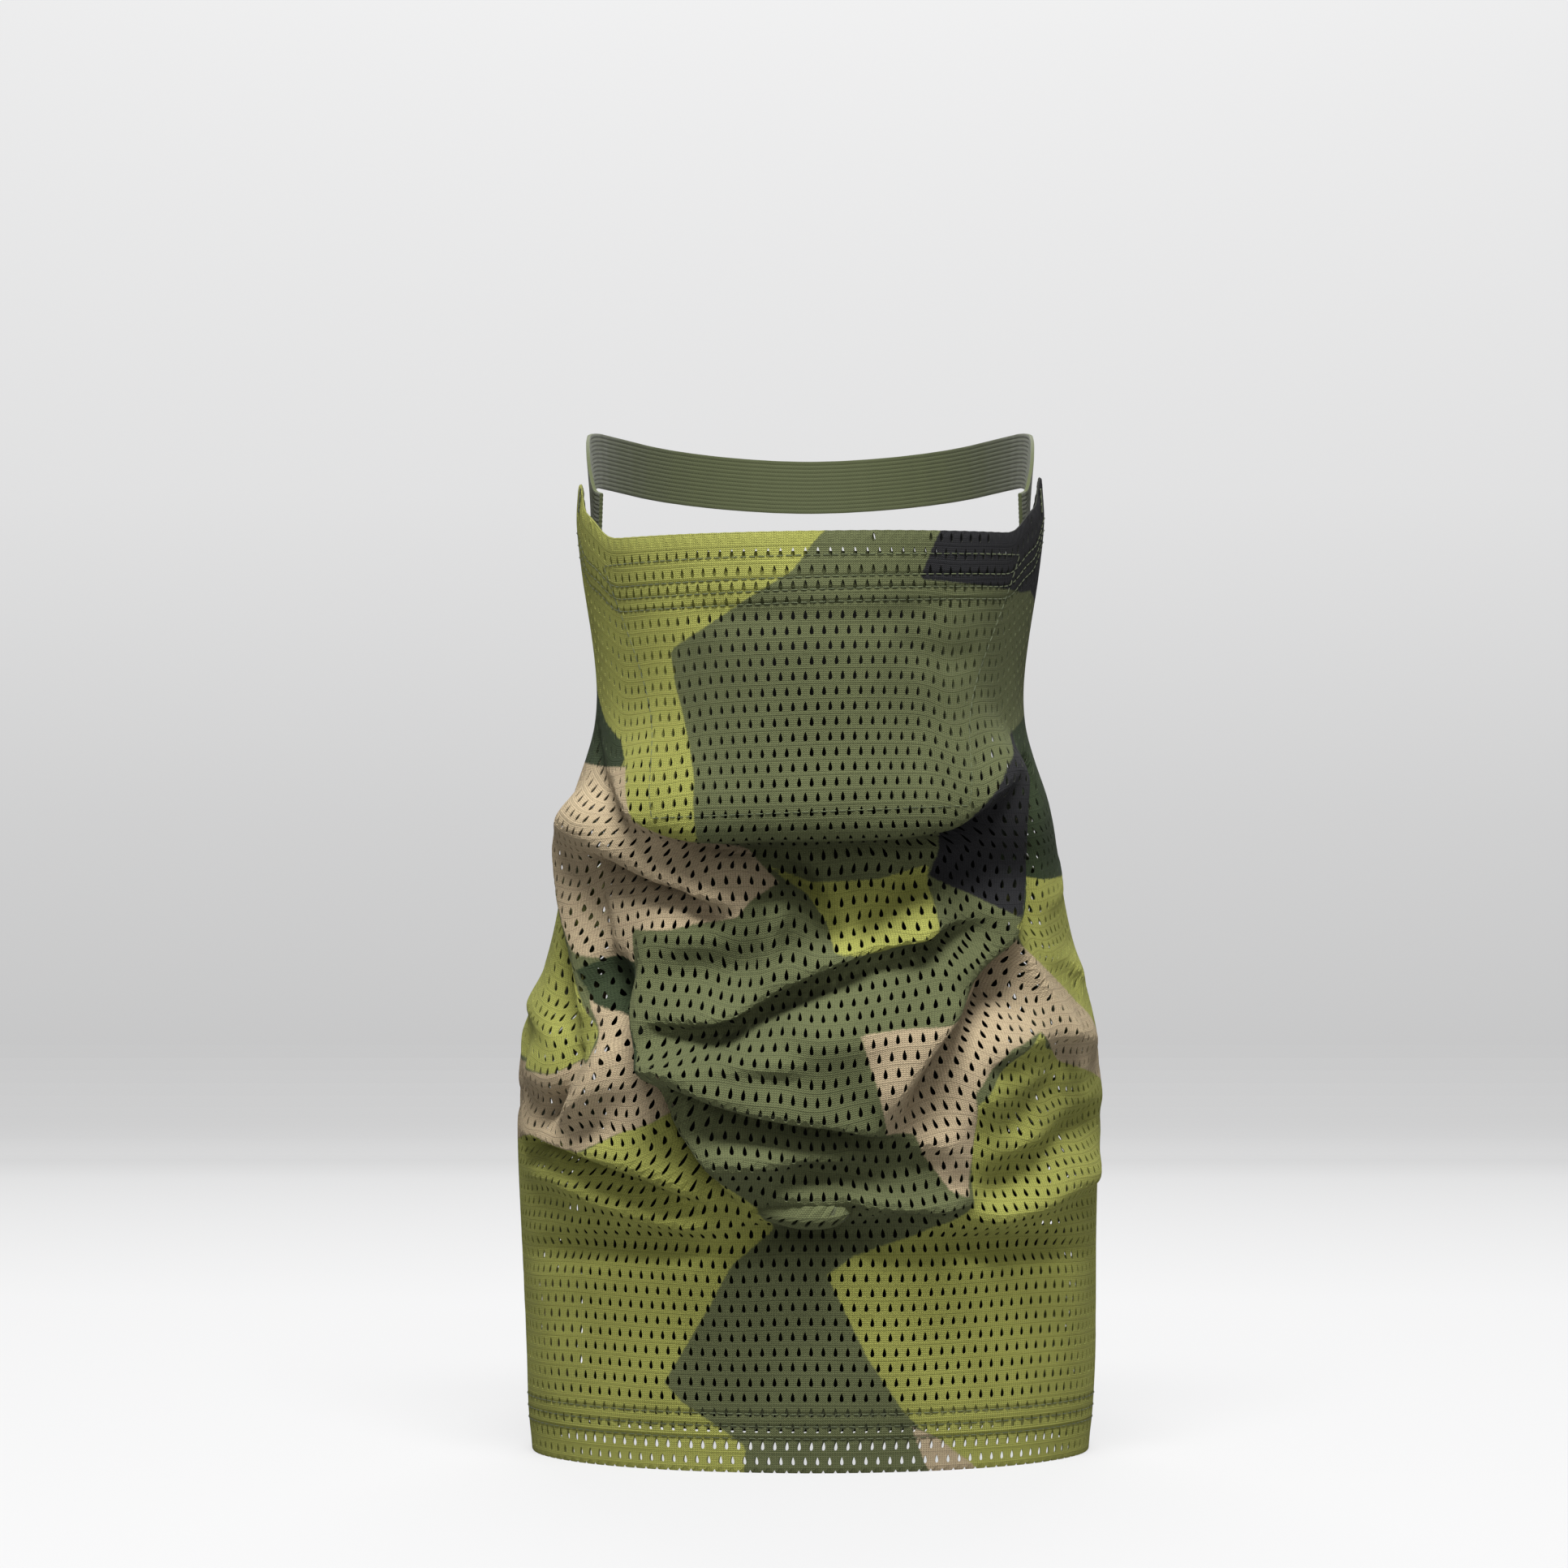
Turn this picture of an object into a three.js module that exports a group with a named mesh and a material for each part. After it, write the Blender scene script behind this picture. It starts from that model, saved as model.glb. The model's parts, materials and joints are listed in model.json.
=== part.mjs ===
// A tube-shaped camouflage face mask in perforated knit mesh, standing in its worn shape.
// Millimetres, +Z up. The origin is the centre of the tube on the floor, and the face looks along -Y.
// The wearer's own right is -X. Every cloth piece is a thin sheet bent over one common outer surface.
import * as THREE from "three";
import { mergeVertices } from "three/addons/utils/BufferGeometryUtils.js";

// Driving dimensions
const CLOTH = 0.7; // thickness of one layer of mesh cloth
const LAYER_GAP = 1.2; // air between two layers that are sewn together
const SEAM_GAP = 0.25; // half the air between two pieces that meet edge to edge, in degrees of turn
const NOSE_LINE = 326; // height of the straight front edge over the nose
const NAPE_LINE = 284; // height of the edge behind the neck
const CHIN_LINE = 222; // the face section ends here, under the chin
const SKIRT_LINE = 80; // the skirt that rests on the shoulders ends here
const TAB = { lift: 25, starts: 62, full: 82, leaves: 88, ends: 128 }; // corners drawn up over the ears, by turn
const NAPE_FALL = { starts: 70, ends: 165 }; // where the upper edge drops from the nose line to the nape line
const TOP_HEM = { depth: 26, firstRow: 15.5 }; // cloth turned in at the top, and its first row of stitches
const BOTTOM_HEM = { depth: 23, firstRow: 12.2 };
const ROW_SPACING = 4.3; // three rows of stitches hold each hem
const THREAD = { gap: 0.5, thick: 0.5, wide: 0.8 };
const LINING = { top: 319, bottom: 228, topHalfTurn: 64, bottomHalfTurn: 36, margin: 1.5 };
const STRAP = { wide: 20, thick: 1.4, sewn: 0.0705, free: 0.0895 };
const TACK = { turn: 79, low: 336, tall: 8, proud: 0.5 };
const COLUMN = 10; // degrees of turn from one column of facets to the next
const ROW = 10; // height of one row of facets
const FOLD_ROW = 6; // height of one row where the cloth is folded

// Outer shape of the worn tube, each as [height, value]: half width, front and rear reach, and where it is widest
const HALF_WIDTH = [
  [0, 100], [12, 102], [50, 103], [100, 104.5], [131, 105], [146, 104], [163, 100], [178, 95], [193, 91.5],
  [210, 89], [228, 87], [240, 83.5], [250, 79], [265, 75], [283, 76.5], [300, 79], [313, 81.5], [336, 84],
  [352, 82],
];
const FRONT_REACH = [
  [0, 70], [50, 75], [76, 81], [100, 93], [131, 99], [160, 98], [190, 95], [212, 96], [228, 103], [245, 106],
  [270, 108], [300, 110], [336, 110],
];
const REAR_REACH = [
  [0, 80], [50, 81], [131, 82], [163, 77], [193, 70], [228, 63], [250, 61], [285, 66], [336, 74],
];
const WIDEST_AT = [[0, -4], [100, -6], [160, -12], [228, -26], [265, -30], [336, -30]];

// Folds of slack cloth, as dents in the outer surface: a valley runs along height = low + tilt * turn + curl * turn^2
const FOLDS = [
  { low: 168, tilt: 0.42, curl: 0.0016, depth: 7, half: 8, at: 4, spread: 44 },
  { low: 124, tilt: -0.12, curl: 0.0014, depth: 6, half: 7, at: -2, spread: 40 },
  { low: 100, tilt: 0.22, curl: 0.0022, depth: 6, half: 7, at: 16, spread: 30 },
  { low: 82, tilt: 0, curl: 0.0012, depth: 3, half: 4, at: 0, spread: 60 },
];
const CHIN_TUCK = { low: 212, climb: 58, fullTurn: 70, depth: 11, half: 7, fade: 88 };

const COLOURS = {
  cloth: new THREE.MeshStandardMaterial({ color: 0x66743a, roughness: 0.95, metalness: 0 }),
  clothDark: new THREE.MeshStandardMaterial({ color: 0x4b573a, roughness: 0.95, metalness: 0 }),
  thread: new THREE.MeshStandardMaterial({ color: 0x71805a, roughness: 0.8, metalness: 0 }),
  strap: new THREE.MeshStandardMaterial({ color: 0x6f7138, roughness: 0.85, metalness: 0 }),
};

const radians = THREE.MathUtils.degToRad;
const mix = THREE.MathUtils.lerp;
const smoothstep = THREE.MathUtils.smoothstep;

// Value of a [height, value] profile at a height, eased between its points
function along(profile, height) {
  if (height <= profile[0][0]) return profile[0][1];
  for (let i = 1; i < profile.length; i++) {
    const [low, from] = profile[i - 1];
    const [high, to] = profile[i];
    if (height <= high) return mix(from, to, (height - low) / (high - low));
  }
  return profile[profile.length - 1][1];
}

// How far the folds push the surface inwards. Turn is 0 at the front and 180 at the back, in degrees.
function dent(turn, height) {
  let sum = 0;
  for (const f of FOLDS) {
    const valley = f.low + f.tilt * turn + f.curl * turn * turn;
    sum += f.depth * Math.exp(-(((height - valley) / f.half) ** 2) - ((turn - f.at) / f.spread) ** 2);
  }
  const side = Math.abs(turn);
  if (side < CHIN_TUCK.fade) {
    const valley = CHIN_TUCK.low + CHIN_TUCK.climb * (side / CHIN_TUCK.fullTurn) ** 3;
    const fade = Math.cos((radians(90) * side) / CHIN_TUCK.fade);
    sum += CHIN_TUCK.depth * fade * Math.exp(-(((height - valley) / CHIN_TUCK.half) ** 2));
  }
  return sum;
}

// Point of the outer surface at a turn and height, before any offset
function skin(turn, height) {
  const middle = along(WIDEST_AT, height);
  const front = along(FRONT_REACH, height) + middle;
  const rear = along(REAR_REACH, height) - middle;
  const a = radians(turn);
  const across = along(HALF_WIDTH, height) * Math.sin(a);
  const depth = Math.cos(a) > 0 ? -front * Math.cos(a) : -rear * Math.cos(a);
  const point = new THREE.Vector3(across, depth, 0);
  point.setLength(point.length() - dent(turn, height));
  return point.add(new THREE.Vector3(0, middle, height));
}

// The same point moved outwards, square to the surface
function cloth(turn, height, offset) {
  const step = 0.5;
  const round = skin(turn + step, height).sub(skin(turn - step, height));
  const up = skin(turn, height + step).sub(skin(turn, height - step));
  return skin(turn, height).add(round.cross(up).setLength(offset));
}

// Height of the tube's upper edge: level over the nose, up at the two corners, then down to the nape
function topEdge(turn) {
  const side = Math.abs(turn);
  const rise = smoothstep(side, TAB.starts, TAB.full) - smoothstep(side, TAB.leaves, TAB.ends);
  const fall = smoothstep(side, NAPE_FALL.starts, NAPE_FALL.ends);
  return NOSE_LINE + TAB.lift * rise - (NOSE_LINE - NAPE_LINE) * fall;
}

// A sheet with four edges: a box divided into columns and rows, bent so that its width follows the turn,
// its height the cloth and its depth the offset from the outer surface
function sheet({ from, to, low, high, outer, thick = CLOTH, columns, rows }) {
  const across = columns ?? Math.round((to(1) - from(1)) / COLUMN);
  const tall = rows ?? Math.round((high(0) - low(0)) / ROW);
  const box = new THREE.BoxGeometry(1, 1, 1, across, tall, 1);
  const place = box.getAttribute("position");
  for (let i = 0; i < place.count; i++) {
    const share = place.getY(i) + 0.5;
    const turn = mix(from(share), to(share), place.getX(i) + 0.5);
    const height = mix(low(turn), high(turn), share);
    const at = cloth(turn, height, outer - thick * (0.5 - place.getZ(i)));
    if (height === 0) at.z = 0;
    place.setXYZ(i, at.x, at.y, at.z);
  }
  return weld(box);
}

// Positions only, with shared corners, so that the shape is one closed skin
function weld(geometry) {
  geometry.deleteAttribute("normal");
  geometry.deleteAttribute("uv");
  return mergeVertices(geometry, 1e-4);
}

const level = (value) => () => value;
const FRONT = { from: level(-90 + SEAM_GAP), to: level(90 - SEAM_GAP) };
const BACK = { from: level(90 + SEAM_GAP), to: level(270 - SEAM_GAP) };
const backEdge = (turn) => topEdge(turn > 180 ? turn - 360 : turn);
const HEM_OUTER = -(CLOTH + LAYER_GAP); // outer face of the turned-in cloth
const LINING_OUTER = 2 * HEM_OUTER; // outer face of the breathing lining
const INNER_OUTER = 3 * HEM_OUTER; // outer face of what is sewn inside the hem

function mesh(name, geometry, material) {
  const made = new THREE.Mesh(geometry, material);
  made.name = name;
  return made;
}

// Front and back cloth panels, each in the stretches that move apart: face, neck and skirt
function panels() {
  const join = 0.3;
  const face = { low: level(CHIN_LINE + join), outer: 0 };
  const neck = { low: level(SKIRT_LINE + join), high: level(CHIN_LINE - join), outer: 0 };
  const skirt = { low: level(0), high: level(SKIRT_LINE - join), outer: 0 };
  const foldRows = Math.round((CHIN_LINE - SKIRT_LINE) / FOLD_ROW);
  return [
    mesh("front_panel_face", sheet({ ...FRONT, ...face, high: topEdge }), COLOURS.cloth),
    mesh("front_panel_neck", sheet({ ...FRONT, ...neck, rows: foldRows }), COLOURS.cloth),
    mesh("front_panel_skirt", sheet({ ...FRONT, ...skirt }), COLOURS.cloth),
    mesh("back_panel_nape", sheet({ ...BACK, ...face, high: backEdge }), COLOURS.cloth),
    mesh("back_panel_neck", sheet({ ...BACK, ...neck }), COLOURS.cloth),
    mesh("back_panel_skirt", sheet({ ...BACK, ...skirt }), COLOURS.cloth),
  ];
}

// Cloth turned in at the two ends of the tube
function hems() {
  const inset = 0.6;
  const lower = { low: level(inset), high: level(BOTTOM_HEM.depth), outer: HEM_OUTER, rows: 3 };
  const upper = (edge) => ({
    low: (turn) => edge(turn) - TOP_HEM.depth,
    high: (turn) => edge(turn) - inset,
    outer: HEM_OUTER,
    rows: 3,
  });
  return [
    mesh("top_hem_front", sheet({ ...FRONT, ...upper(topEdge) }), COLOURS.clothDark),
    mesh("top_hem_back", sheet({ ...BACK, ...upper(backEdge) }), COLOURS.clothDark),
    mesh("bottom_hem_front", sheet({ ...FRONT, ...lower }), COLOURS.clothDark),
    mesh("bottom_hem_back", sheet({ ...BACK, ...lower }), COLOURS.clothDark),
  ];
}

// Half the turn that the breathing lining spans, at a share of its height
const liningHalf = (share) => mix(LINING.bottomHalfTurn, LINING.topHalfTurn, share);

// Second layer over the nose and mouth, a trapezium inside the front panel
function lining() {
  const shape = {
    from: (share) => -liningHalf(share),
    to: liningHalf,
    low: level(LINING.bottom),
    high: level(LINING.top),
    outer: LINING_OUTER,
  };
  return mesh("face_lining", sheet(shape), COLOURS.clothDark);
}

// The overlocked edges of the two panels, standing inwards along each side seam
function sideSeams() {
  const strip = { outer: LINING_OUTER, thick: 3.5, columns: 1 };
  const halfTurn = 0.7;
  const gap = 0.3;
  const stretches = [
    ["face", CHIN_LINE + gap, topEdge(90) - TOP_HEM.depth - 2 * gap],
    ["neck", SKIRT_LINE + gap, CHIN_LINE - gap],
    ["skirt", BOTTOM_HEM.depth + 2 * gap, SKIRT_LINE - gap],
  ];
  const seam = (side, turn) => ([stretch, low, high]) => {
    const span = { from: level(turn - halfTurn), to: level(turn + halfTurn), low: level(low), high: level(high) };
    return mesh(`seam_${side}_${stretch}`, sheet({ ...strip, ...span }), COLOURS.clothDark);
  };
  return [...stretches.map(seam("right", -90)), ...stretches.map(seam("left", 90))];
}

// One row of thread lying on the outer surface, at a height that may change with the turn
function threadRow(name, span, heightAt) {
  const half = THREAD.wide / 2;
  const shape = {
    ...span,
    low: (turn) => heightAt(turn) - half,
    high: (turn) => heightAt(turn) + half,
    outer: THREAD.gap + THREAD.thick,
    thick: THREAD.thick,
    rows: 1,
  };
  return mesh(name, sheet(shape), COLOURS.thread);
}

// Three rows of stitches round each hem
function hemThreads() {
  return [1, 2, 3].flatMap((row) => {
    const down = TOP_HEM.firstRow + ROW_SPACING * (row - 1);
    const up = BOTTOM_HEM.firstRow + ROW_SPACING * (row - 1);
    return [
      threadRow(`top_stitch_front_${row}`, FRONT, (turn) => topEdge(turn) - down),
      threadRow(`top_stitch_back_${row}`, BACK, (turn) => backEdge(turn) - down),
      threadRow(`bottom_stitch_front_${row}`, FRONT, level(up)),
      threadRow(`bottom_stitch_back_${row}`, BACK, level(up)),
    ];
  });
}

// The box of stitches that holds the lining. Its sides lean inwards towards the chin and cross over the hem's rows.
function liningThreads() {
  const inset = 1.2;
  const halfWide = 0.25;
  const over = THREAD.gap + THREAD.thick + 0.3;
  const side = (sign) => ({
    from: (share) => sign * (liningHalf(share) - inset) - halfWide,
    to: (share) => sign * (liningHalf(share) - inset) + halfWide,
    low: level(LINING.bottom + 2 * LINING.margin),
    high: level(LINING.top - 2 * LINING.margin),
    outer: over + THREAD.thick,
    thick: THREAD.thick,
    columns: 1,
  });
  const row = (name, share, height) => {
    const half = liningHalf(share) - inset;
    return threadRow(name, { from: level(-half), to: level(half) }, level(height));
  };
  return [
    row("lining_stitch_top", 1, LINING.top - LINING.margin),
    row("lining_stitch_bottom", 0, LINING.bottom + LINING.margin),
    mesh("lining_stitch_right", sheet(side(-1)), COLOURS.thread),
    mesh("lining_stitch_left", sheet(side(1)), COLOURS.thread),
  ];
}

// Middle line of the head strap: from inside the right corner, over the ear, round the back, and down to the left
function strapLine() {
  const inside = INNER_OUTER - STRAP.thick;
  const half = [
    cloth(-76, 325, inside).toArray(),
    cloth(-84, 337, inside).toArray(),
    [-79, -14, 352],
    [-79, 15, 358],
    [-72, 52, 359],
    [-55, 84, 357],
    [-29, 104, 355],
  ];
  const mirrored = half.map(([x, y, z]) => [-x, y, z]).reverse();
  const rear = [0, 110.3, 354];
  return new THREE.CatmullRomCurve3([...half, rear, ...mirrored].map((p) => new THREE.Vector3(...p)));
}

// A flat band along a stretch of the strap's line, standing on edge against the head
function band(line, start, end, pieces) {
  const box = new THREE.BoxGeometry(1, 1, 1, pieces, 1, 1);
  const place = box.getAttribute("position");
  for (let i = 0; i < place.count; i++) {
    const share = mix(start, end, place.getX(i) + 0.5);
    const middle = line.getPointAt(share);
    const ahead = line.getTangentAt(share);
    const outwards = new THREE.Vector3(middle.x, middle.y - along(WIDEST_AT, middle.z), 0);
    const across = outwards.cross(ahead).normalize();
    const square = ahead.clone().cross(across);
    middle.addScaledVector(across, place.getY(i) * STRAP.wide);
    middle.addScaledVector(square, place.getZ(i) * STRAP.thick);
    place.setXYZ(i, middle.x, middle.y, middle.z);
  }
  return weld(box);
}

// The elastic strap: the free band, and its two ends sewn inside the corners of the top hem
function strap() {
  const line = strapLine();
  return [
    mesh("head_strap", band(line, STRAP.free, 1 - STRAP.free, 28), COLOURS.strap),
    mesh("strap_end_right", band(line, 0, STRAP.sewn, 3), COLOURS.strap),
    mesh("strap_end_left", band(line, 1 - STRAP.sewn, 1, 3), COLOURS.strap),
  ];
}

// Close zigzag stitches over each sewn strap end, on the outside of the cloth
function tacks() {
  const tack = (name, turn) => {
    const halfTurn = 0.6;
    const shape = {
      from: level(turn - halfTurn),
      to: level(turn + halfTurn),
      low: level(TACK.low),
      high: level(TACK.low + TACK.tall),
      outer: THREAD.gap + TACK.proud,
      thick: TACK.proud,
      columns: 1,
      rows: 2,
    };
    return mesh(name, sheet(shape), COLOURS.thread);
  };
  return [tack("bartack_right", -TACK.turn), tack("bartack_left", TACK.turn)];
}

const mask = new THREE.Group();
mask.add(...panels(), ...hems(), lining(), ...sideSeams());
mask.add(...hemThreads(), ...liningThreads(), ...strap(), ...tacks());

export default mask;
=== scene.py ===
"""The looks of a camouflage mesh face mask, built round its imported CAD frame.

The cloth is one perforated knit. A control surface gives its worn shape and folds, and a flat pattern of
teardrop holes is laid over that surface. Places on the mask are given as a turn, 0 degrees at the front,
+90 at the wearer's left, 180 at the back, and a height above the floor. Lengths are in millimetres.
"""

import json
import math

import bpy
import numpy as np
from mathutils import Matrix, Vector

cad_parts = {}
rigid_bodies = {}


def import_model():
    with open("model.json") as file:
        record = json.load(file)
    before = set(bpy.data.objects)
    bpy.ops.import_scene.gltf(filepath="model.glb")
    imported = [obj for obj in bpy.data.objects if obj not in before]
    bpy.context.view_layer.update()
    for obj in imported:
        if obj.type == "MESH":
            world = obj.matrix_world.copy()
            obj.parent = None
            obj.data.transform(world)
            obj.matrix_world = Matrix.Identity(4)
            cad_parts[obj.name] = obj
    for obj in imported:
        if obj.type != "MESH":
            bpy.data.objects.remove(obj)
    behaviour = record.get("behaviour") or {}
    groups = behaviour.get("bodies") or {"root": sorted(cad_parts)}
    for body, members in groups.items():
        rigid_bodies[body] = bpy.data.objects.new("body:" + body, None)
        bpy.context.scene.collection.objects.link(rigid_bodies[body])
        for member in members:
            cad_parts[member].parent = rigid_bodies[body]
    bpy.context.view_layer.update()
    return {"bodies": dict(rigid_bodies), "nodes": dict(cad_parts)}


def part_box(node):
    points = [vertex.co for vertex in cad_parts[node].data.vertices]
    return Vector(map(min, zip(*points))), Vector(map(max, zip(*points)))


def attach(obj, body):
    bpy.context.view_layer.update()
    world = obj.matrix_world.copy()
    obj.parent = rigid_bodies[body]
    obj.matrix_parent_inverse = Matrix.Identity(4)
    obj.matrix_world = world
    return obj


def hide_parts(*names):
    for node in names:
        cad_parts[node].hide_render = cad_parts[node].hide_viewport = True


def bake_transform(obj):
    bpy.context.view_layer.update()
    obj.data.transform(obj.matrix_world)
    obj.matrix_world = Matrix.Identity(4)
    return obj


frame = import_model()
rng = np.random.default_rng(7)

MM = 0.001
SMALL = 1e-9


def low_high(node):
    """Lowest and highest corner of a CAD node, in millimetres."""
    low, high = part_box(node)
    return np.array(low) / MM, np.array(high) / MM


# ---------------------------------------------------------------- driving sizes, from the frame

SKIRT_LINE = low_high("front_panel_neck")[0][2]
CHIN_LINE = low_high("front_panel_face")[0][2]
LINING_LOW, LINING_HIGH = low_high("face_lining")

HOLE_PITCH = 4.25  # from one hole to the next in a row
ROW_PITCH = 5.08  # from one row of holes to the next
HOLE_OUTLINE = [  # right half of a teardrop hole, point at the top
    (0.0, 1.68),
    (0.34, 0.95),
    (0.64, 0.0),
    (0.72, -0.8),
    (0.5, -1.42),
    (0.0, -1.62),
]
CLOTH = 0.42  # thickness of the knit
TOP_HEM = 26.0  # cloth turned in at the top
TOP_ROWS = (15.5, 19.8, 24.1)  # rows of stitches below the top edge
BOTTOM_ROWS = (12.2, 16.5, 20.8)  # rows of stitches above the bottom edge
LINING_TURNS = (36.0, 64.0)  # half the turn that the lining spans at its foot and at its top
STRAP_WIDE = 20.0
STRAP_THICK = 1.4
TACK_TURN = 79.0  # where the strap is sewn on
THREAD_RADIUS = 0.17
LAYER = 1.0  # from one layer of a hem to the next
FOLD_ROUND = 0.8  # how round the folded edge of a hem is
TURN_TO_MM = 1.75  # one degree of turn, as a length on the cloth
HEM_CLIMB = 1.5  # how much higher the hem and the chin line are at the wearer's left than in the middle
FLAT_REACH = 185  # half the width of the flat cloth that a panel is cut from

# Stretches that bend between two bodies, whose pieces stay fixed in the world here: the bodies, and where the
# bend starts and ends.
BENDS = {
    "neck": ("skirt", "face", (0, 0, SKIRT_LINE), (0, 0, CHIN_LINE)),
    "strap": ("face", "strap", (0, -30.0, 0), (0, -16.0, 0)),
}


# ---------------------------------------------------------------- small helpers


def ease(x, low, high):
    """0 below low, 1 above high, and a smooth step between."""
    s = np.clip((x - low) / (high - low), 0, 1)
    return s * s * (3 - 2 * s)


def smooth(values, width, axis=0):
    """Bell-weighted running average along an axis. Width is in samples."""
    reach = int(3 * width) + 1
    weights = np.exp(-0.5 * (np.arange(-reach, reach + 1) / width) ** 2)
    weights /= weights.sum()
    moved = np.moveaxis(values, axis, 0)
    padded = np.concatenate([np.repeat(moved[:1], reach, 0), moved, np.repeat(moved[-1:], reach, 0)])
    out = sum(w * padded[i : i + len(moved)] for i, w in enumerate(weights))
    return np.moveaxis(out, 0, axis)


def unit(v):
    """Vectors scaled to length one."""
    return v / np.maximum(np.linalg.norm(v, axis=-1, keepdims=True), SMALL)


def lengths_along(path):
    """How far along a path each of its points lies."""
    return np.concatenate([[0], np.cumsum(np.linalg.norm(np.diff(path, axis=0), axis=1))])


def between_points(at, along, values):
    """Values, given at the distances along, read at other distances."""
    return np.stack([np.interp(at, along, values[:, k]) for k in range(values.shape[1])], -1)


def look(table, i, j):
    """Value of a table at fractional places, between its four nearest entries."""
    i = np.clip(i, 0, table.shape[0] - 1.001)
    j = np.clip(j, 0, table.shape[1] - 1.001)
    a, b = i.astype(int), j.astype(int)
    p, q = i - a, j - b
    if table.ndim == 3:
        p, q = p[..., None], q[..., None]
    low = table[a, b] * (1 - q) + table[a, b + 1] * q
    high = table[a + 1, b] * (1 - q) + table[a + 1, b + 1] * q
    return low * (1 - p) + high * p


def curve_through(points, count):
    """A smooth open curve through a few points, as count points evenly spaced along it."""
    p = np.array(points, float)
    if len(p) > 2:
        ends = np.vstack([2 * p[0] - p[1], p, 2 * p[-1] - p[-2]])
        pieces = []
        for i in range(len(p) - 1):
            a, b, c, d = ends[i : i + 4]
            s = np.linspace(0, 1, 12, endpoint=False)[:, None]
            bend = (2 * b, c - a, 2 * a - 5 * b + 4 * c - d, -a + 3 * b - 3 * c + d)
            pieces.append(0.5 * (bend[0] + bend[1] * s + bend[2] * s**2 + bend[3] * s**3))
        p = np.vstack(pieces + [p[-1:]])
    along = lengths_along(p)
    return between_points(np.linspace(0, along[-1], count), along, p)


# ---------------------------------------------------------------- worn shape of the cloth

TURN_STEP = 0.75
TURNS = np.arange(-90, 270.01, TURN_STEP)
HEIGHTS = np.arange(0, 356, 1.0)
WHOLE_ABOVE_HEM = 20  # how far above the lowest point of the top hem the tube is still whole


def node_mesh(*names):
    """Points and triangle edges of CAD nodes, in millimetres."""
    points, edges, count = [], [], 0
    for name in names:
        mesh = frame["nodes"][name].data
        co = np.zeros(len(mesh.vertices) * 3)
        mesh.vertices.foreach_get("co", co)
        pairs = np.zeros(len(mesh.edges) * 2, int)
        mesh.edges.foreach_get("vertices", pairs)
        points.append(co.reshape(-1, 3) / MM)
        edges.append(pairs.reshape(-1, 2) + count)
        count += len(mesh.vertices)
    return np.vstack(points), np.vstack(edges)


def crossings(points, edges, distance):
    """Where the edges cross the surface on which distance, given for each point, is zero."""
    a, b = edges[:, 0], edges[:, 1]
    cut = distance[a] * distance[b] < 0
    a, b = a[cut], b[cut]
    share = distance[a] / (distance[a] - distance[b])
    return points[a] + (points[b] - points[a]) * share[:, None]


def read_profiles():
    """Half width, front reach, rear reach and the place of the widest line of the tube, at each height."""
    parts = [n for n in frame["nodes"] if n.startswith(("front_panel", "back_panel"))]
    points, edges = node_mesh(*parts)
    nose = low_high("top_hem_front")[0][2] + WHOLE_ABOVE_HEM
    nape = low_high("top_hem_back")[0][2] + WHOLE_ABOVE_HEM
    rows = []
    for h in HEIGHTS[3:-8:4]:
        ring = crossings(points, edges, points[:, 2] - (h + 0.01))
        if len(ring) < 8:
            continue
        half = np.abs(ring[:, 0]).max()
        wide = ring[np.abs(ring[:, 0]) > half - 0.4][:, 1].mean()
        front = -ring[:, 1].min() if h < nose else np.nan
        rear = ring[:, 1].max() if h < nape else np.nan
        rows.append((h, half, front, rear, wide))
    rows = np.array(rows)
    profiles = []
    for k in range(1, 5):
        good = ~np.isnan(rows[:, k])
        values = np.interp(HEIGHTS, rows[good, 0], rows[good, k])
        profiles.append(smooth(values, 4))
    return profiles


PROFILES = read_profiles()


def profiles_at(height):
    """Half width, front reach, rear reach and the place of the widest line at any height."""
    return (np.interp(height, HEIGHTS, p) for p in PROFILES)


def base_surface(turn, height):
    """Point of the plain tube, without folds."""
    half, front, rear, wide = profiles_at(height)
    a = np.radians(turn)
    reach = np.where(np.cos(a) > 0, front + wide, rear - wide)
    return np.stack([half * np.sin(a), wide - reach * np.cos(a), height + 0 * turn], -1)


def read_top_edge():
    """Height of the upper edge at each turn, from the CAD panels' highest points."""
    points, _ = node_mesh("front_panel_face", "back_panel_nape")
    half, front, rear, wide = profiles_at(points[:, 2])
    reach = np.where(points[:, 1] < wide, front + wide, rear - wide)
    turn = np.degrees(np.arctan2(points[:, 0] / half, (wide - points[:, 1]) / reach))
    turn = np.where(turn < -89, turn + 360, turn)
    centres = np.arange(-90, 271, 7.5)
    tops = []
    for c in centres:
        away = np.abs((turn - c + 180) % 360 - 180)
        tops.append(points[away < 6][:, 2].max() if (away < 6).any() else np.nan)
    tops = np.array(tops)
    good = ~np.isnan(tops)
    return smooth(np.interp(TURNS, centres[good], tops[good]), 4)


TOP_EDGE = read_top_edge()


def top_edge(turn):
    """Height of the upper edge at a turn. It sits a little higher on the wearer's left."""
    return np.interp(turn, TURNS, TOP_EDGE) + 1.2 * np.sin(np.radians(turn))


def hem_climb(turn):
    """How much the hem's stitches and the chin line stand above their height in the middle."""
    return HEM_CLIMB * np.sin(np.radians(turn))


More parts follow.
